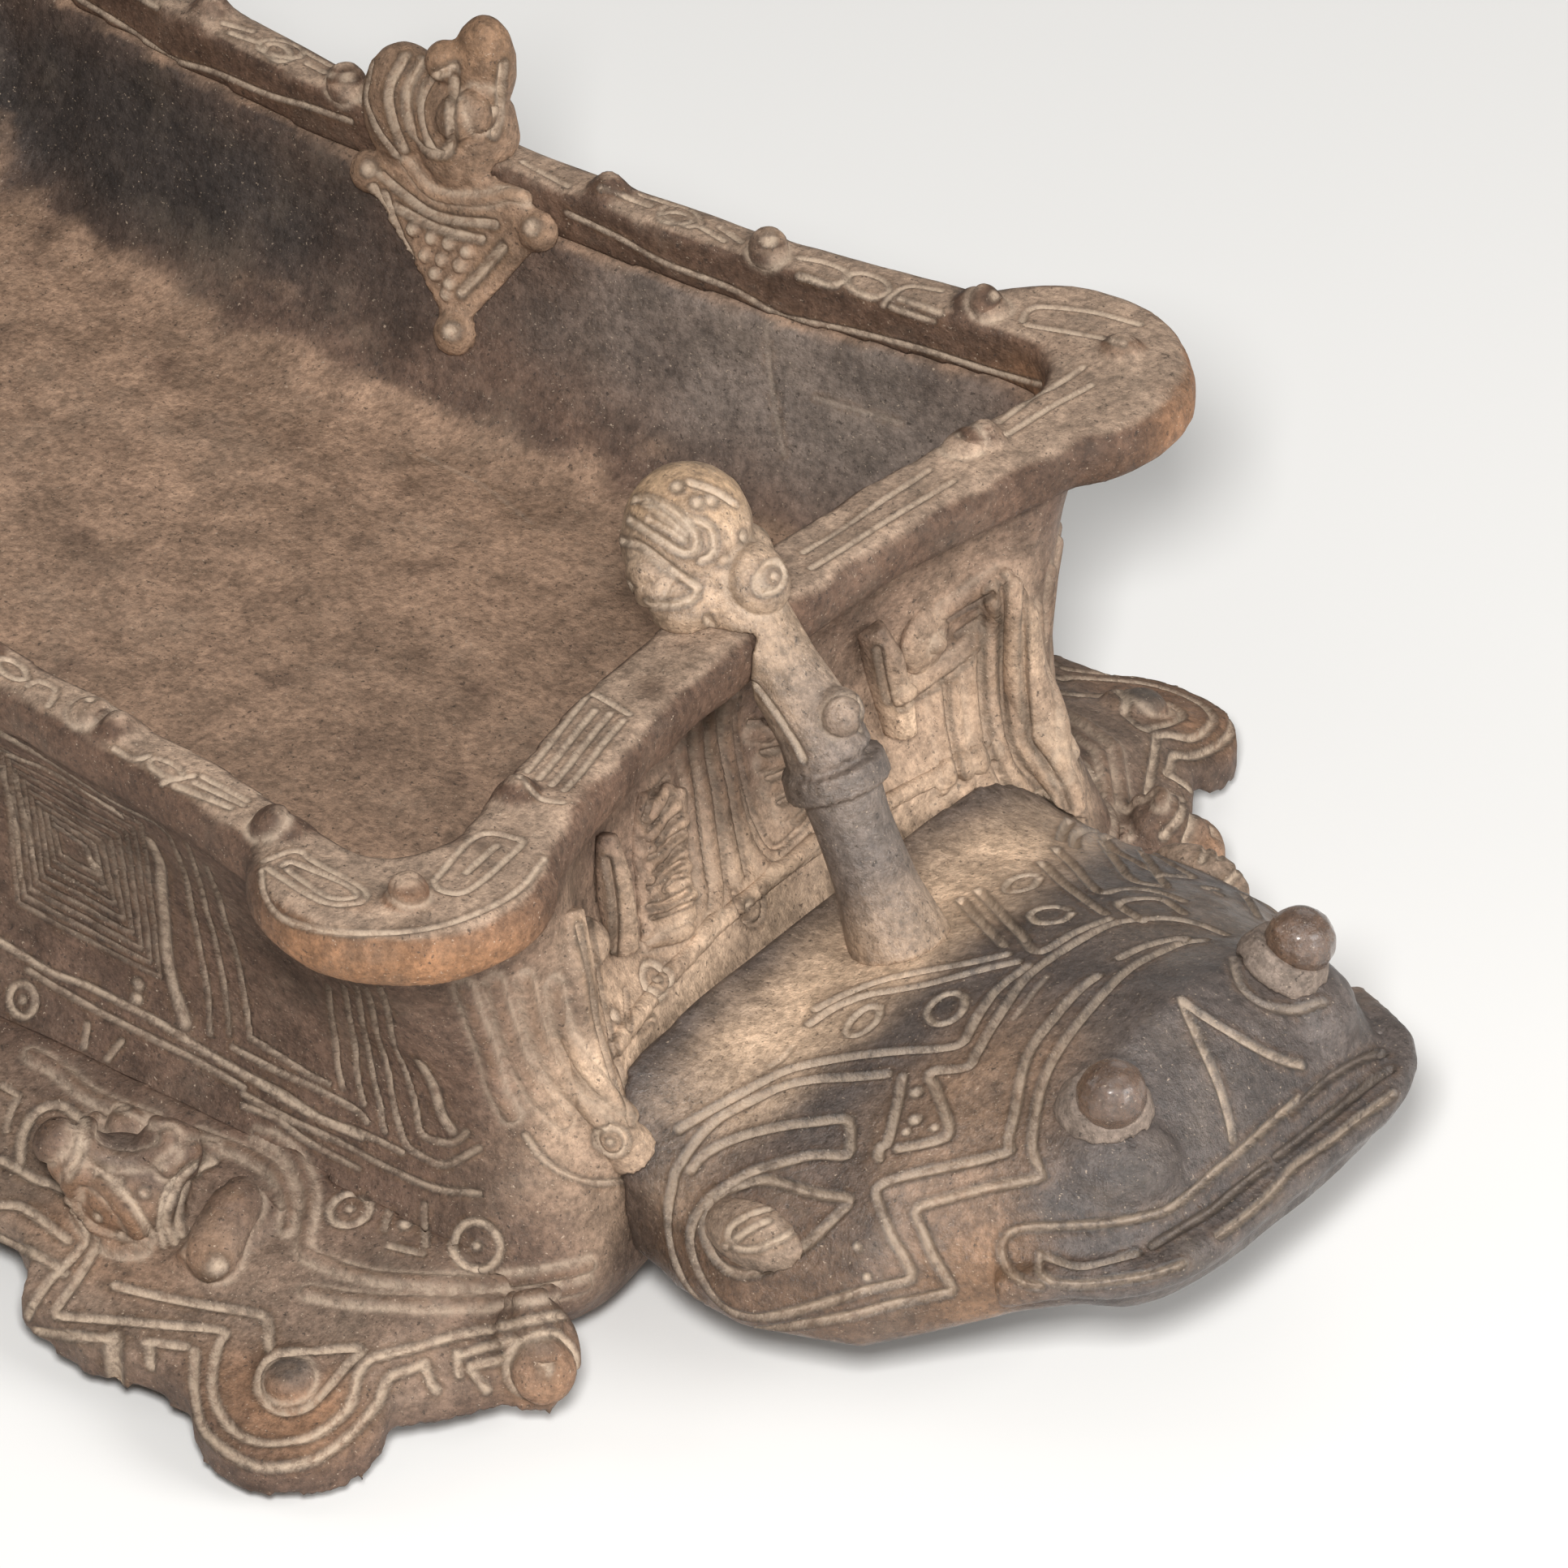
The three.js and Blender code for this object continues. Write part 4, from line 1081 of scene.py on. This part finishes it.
def reshape(node, stretch, move=(0, 0, 0), place=None):
    """Narrows or flattens a relief about its middle, and moves it by or to a place."""
    v, f = reliefs[node]
    middle = v.mean(0)
    reliefs[node] = (middle + move if place is None else place) + (v - middle) * stretch, f


NARROW = (1, 0.62, 1)
reshape("wall_loop_right", NARROW)
reshape("wall_loop_left", NARROW, move=(0, -6, 0))
reshape("wall_knob_left", (0.6, 1.45, 1.45), place=Surface(*wall).cast(*FRONT_DISC))


def ledge_nodes(side):
    return [f"side_flange_{side}", *[f"{node}_{end}_{side}" for node in ON_LEDGES for end in ENDS]]


ledges = {side: shell(ledge_nodes(side), 1.5, 6) for side in SIDES}


def outer_marks():
    """The marks that run over the wall, the near ledge and the reliefs."""
    marks = Marks(wall, ledges["right"], *reliefs.values())
    marks.nested(WALL_PANEL_INNER, WALL_PANEL_OUTER, WALL_PANEL_COUNT, wide=0.7, deep=1.0, dust=0.45)
    marks.lines(WALL_PANEL_LENS, wide=1.2, deep=0.9)
    marks.lines(WALL_BORDERS, wide=0.9, deep=1.1)
    marks.lines(WALL_LINES, wide=0.85, deep=1.2, dust=0.75)
    marks.lines(WALL_SOFT_LINES, wide=1.7, deep=0.8, dust=0.8)
    marks.lines(WALL_RIDGES, kind=COIL, wide=1.8, deep=1.5, dust=0.7)
    marks.lines(CORNER_RIDGES, kind=COIL, wide=2.1, deep=1.6, dust=0.5)
    marks.lines(WALL_CLEFT, wide=1.2, deep=1.1)
    for ring in WALL_RINGS:
        marks.ring(*ring)
    marks.dots(WALL_DOTS)
    marks.pellet(*BEAN_BOSS, 5.2, 4.6)
    marks.dots(BEAN_DIMPLE, wide=1.4)
    marks.lines(TWIN_BOSS, kind=COIL, wide=6.8, deep=3.4, dust=0.5)
    marks.pellet(*LEDGE_ROUNDEL, 5.8, 1.8)
    marks.pellet(*LEDGE_KNOB, 7.5, 3.2, dust=0.4)
    marks.ring(*LEDGE_KNOB, LEDGE_KNOB_EDGE)
    marks.lines(ANIMAL_COILS, kind=COIL, wide=2.3, deep=2.2, dust=0.6)
    marks.pellet(*ANIMAL_BALL, 5, 3.2)
    marks.lines(ANIMAL_LINES, wide=0.9, deep=0.9)
    marks.dots(ANIMAL_DOTS, wide=1.3, deep=0.9)
    marks.dots(LEDGE_DIMPLES, wide=1.8, deep=1.3)
    marks.lines(LEDGE_LINES, wide=1.15, deep=1.2)
    marks.lines(LEDGE_WIDE_LINES, wide=2.2, deep=1.4)
    for pixels in paths(WALL_BORDERS):
        marks.bridge(pixels)
    marks.mirror(0)
    marks.mirror(1)
    marks.lines(FRONT_RIDGES, kind=COIL, wide=2.0, deep=1.4, dust=0.3)
    marks.lines(FRONT_GROOVES, wide=0.8, deep=1.3, dust=0.15)
    marks.lines(COMB_FINGERS, kind=COIL, wide=1.7, deep=1.2, dust=0)
    marks.lines(COMB_GROOVES, wide=0.8, deep=1.6, dust=0.1)
    marks.lines(BAND_GROOVES, wide=0.9, deep=1.3, dust=0.3)
    marks.lines(LOOP_SLOT, wide=1.1, deep=1.6, dust=0.2)
    marks.lines(FAR_FRONT_RIDGES, kind=COIL, wide=2.3, deep=1.7, dust=0.3)
    marks.lines(FAR_FRONT_GROOVES, wide=0.9, deep=1.4, dust=0.15)
    marks.lines(FAR_LOOP_SLOT, wide=1.1, deep=1.3, dust=0.3)
    marks.lines(BASIN_SCRATCHES, wide=0.7, deep=0.25, dust=0.3)
    marks.dots(FRONT_DOTS)
    marks.pellet(*FRONT_DISC_PELLET)
    for ring in FRONT_RINGS:
        marks.ring(*ring)
    return marks


OUTER = {"base": BODY_TINT, "zones": WALL_ZONES, "marks": outer_marks(), "seed": 2}


def make_rim():
    """The rim with its corner lobes."""
    skin = shell(["rim_band"], 1.8, 5)
    marks = Marks(skin)
    marks.lines(RIM_LINES, wide=0.85, deep=0.8)
    for oval in RIM_OVALS:
        marks.oval(*oval, wide=0.8, deep=0.8)
    marks.mirror(0)
    for px, py in paths(RIM_KNOBS)[0]:
        marks.pellet(px, py, 5.0, 2.6)
    marks.dots(RIM_DIMPLES, wide=1.4, deep=0.8)
    dressed("vessel_rim", ["rim_band"], skin, RIM, RIM_TINT, seed=3, zones=RIM_ZONES, top=RIM_TOP,
            marks=marks, coarse=4.0)


def make_ledges_and_reliefs():
    """The ledges with their roundels, knobs and little animals, and the front wall's reliefs."""
    for side in SIDES:
        dressed(f"ledge_{side}", ledge_nodes(side), ledges[side], BROWN, fine=0.78, coarse=4.0, **OUTER)
    for side in SIDES:
        for name, node in (("front_loop", "wall_loop"), ("front_comb", "wall_comb"),
                           ("front_knob", "wall_knob"), ("edge_band", "corner_band")):
            node = f"{node}_{side}"
            dressed(f"{name}_{side}", [node], reliefs[node], TAN, **OUTER)
    dressed("wall_bead", ["wall_ledge"], reliefs["wall_ledge"], TAN, fine=0.6, coarse=3.0, **OUTER)


def make_head():
    """The great head at the front, with its eyes and cheek bosses."""
    nodes = ["front_head", "lip_band"]
    skin = shell(nodes, 1.7, 5)
    marks = Marks(skin)
    marks.lines(HEAD_LINES, wide=1.25, deep=1.3, dust=0.72)
    marks.lines(HEAD_FAINT_LINES, wide=0.9, deep=0.4, dust=0.4)
    for oval in HEAD_OVALS:
        marks.oval(*oval, wide=1.0, deep=0.9)
    marks.dots(HEAD_DOTS, wide=1.6, deep=1.1)
    marks.dots(HEAD_FINE_DOTS, wide=1.1, deep=0.8)
    marks.mirror(1, beyond=60)
    marks.lines(CROWN_LINES, wide=1.2, deep=1.2, dust=0.75)
    marks.lines(LIP_LINES, wide=1.2, deep=1.5, dust=0.6)
    marks.lines(MOUTH_LINES, wide=1.2, deep=1.7, dust=0.2)
    marks.lines(FAR_EYE_FOOT, wide=1.3, deep=0.8, dust=0.4)
    dressed("muzzle", nodes, skin, DARK, HEAD_TINT, seed=16, zones=HEAD_ZONES, marks=marks, coarse=4.0)
    bosses = {side: shell([f"cheek_pellet_{side}"], 0.9, 2) for side in SIDES}
    marks = Marks(bosses["right"])
    marks.lines(CHEEK_BOSS_LINES, wide=0.9, deep=0.9)
    marks.mirror(1)
    for side in SIDES:
        ring = shell([f"eye_collar_{side}"], 0.7, 7)
        dressed(f"eye_ring_{side}", [f"eye_collar_{side}"], ring, ADORNO, EYE_RING_TINT, seed=10)
        v, f = shell([f"eye_ball_{side}"], 0.7, 16, EYE_SWELL)
        ball = v - (0, 0, EYE_SINKS), f
        dressed(f"eye_{side}", [f"eye_ball_{side}"], ball, GLOSSY, EYE_TINT, seed=10)
        dressed(f"cheek_boss_{side}", [f"cheek_pellet_{side}"], bosses[side], ADORNO, CHEEK_BOSS_TINT,
                seed=11, marks=marks, coarse=2.0)


def make_figure():
    """The figure that looks out over the front rim."""
    nodes = ["handle_column", "handle_ring", "handle_head"]
    skin = shell(nodes, 0.9, 3)
    marks = Marks(skin)
    marks.lines(FIGURE_LINES, wide=1.1, deep=1.0)
    marks.dots(FIGURE_DOTS, wide=1.5, deep=1.1)
    marks.ring(*FIGURE_RING)
    for boss in (*FIGURE_EYES, FIGURE_NOSE):
        marks.pellet(*boss, dust=0.4)
    dressed("rim_figure", nodes, skin, DARK, FIGURE_TINT, seed=18, zones=FIGURE_ZONES, marks=marks)


def make_lugs():
    """The lugs on the long sides."""
    nodes = {side: [f"{node}_{side}" for node in ("lug_crest", "lug_head", "lug_panel")] for side in SIDES}
    skins = {side: shell(nodes[side], 1.1, 3) for side in SIDES}
    marks = Marks(skins["left"])
    marks.lines(LUG_LINES, wide=1.3, deep=1.6)
    marks.lines(LUG_RIDGE, kind=COIL, wide=1.6, deep=1.2, dust=0.7)
    marks.dots(LUG_DOTS, wide=1.9, deep=1.2)
    marks.pellet(*LUG_EYE, 5.5, 3.2)
    for px, py in paths(LUG_STUDS)[0]:
        marks.pellet(px, py, 2.0, 1.7, dust=DUSTY_ALL_OVER)
    marks.mirror(1)
    for side in SIDES:
        dressed(f"lug_{side}", nodes[side], skins[side], ADORNO, LUG_TINT, seed=5, zones=LUG_ZONES,
                marks=marks)


FLOOR, FLOOR_TINT, FLOOR_ROUGHNESS = 6.0, (0.78, 0.77, 0.75, 1), 0.85
SKY_TINT, SKY_STRENGTH = (1.0, 0.98, 0.95, 1), 0.15
LAMPS = (("key", (1.25, -1.55, 1.72), 0.35, 72), ("left", (-1.7, -1.3, 1.5), 1.2, 8),
         ("right", (2.4, 0.1, 1.1), 1.5, 50), ("back", (-0.6, 2.0, 1.6), 1.4, 9))
LAMPS_AIM = (0.05, 0, 0.08)


def make_stage():
    """A pale floor and soft lamps, in metres and watts."""
    me = bpy.data.meshes.new("floor")
    r = FLOOR
    me.from_pydata([(-r, -r, 0), (r, -r, 0), (r, r, 0), (-r, r, 0)], [], [(0, 1, 2, 3)])
    floor = linked("floor", me)
    m = bpy.data.materials.new("floor")
    fill(Nodes(m).surface(), {"Base Color": FLOOR_TINT, "Roughness": FLOOR_ROUGHNESS})
    me.materials.append(m)
    world = bpy.data.worlds.new("studio")
    bpy.context.scene.world = world
    world.use_nodes = True
    fill(world.node_tree.nodes["Background"], {"Color": SKY_TINT, "Strength": SKY_STRENGTH})
    for name, place, size, power in LAMPS:
        data = bpy.data.lights.new(name, "AREA")
        data.size = size
        data.energy = power
        lamp = linked(name, data)
        lamp.location = place
        lamp.rotation_euler = (Vector(LAMPS_AIM) - Vector(place)).to_track_quat("-Z", "Y").to_euler()


make_camera()
dressed("vessel_wall", ["body"], wall, BROWN, top=BASIN_TINT, fine=0.72, coarse=6.0, **OUTER)
make_rim()
make_ledges_and_reliefs()
make_head()
make_figure()
make_lugs()
dressed("tail", ["tail_lobe"], shell(["tail_lobe"], 1.8, 6), BROWN, FLANGE_TINT, seed=20)
make_stage()
bpy.context.scene.view_settings.view_transform = "Standard"
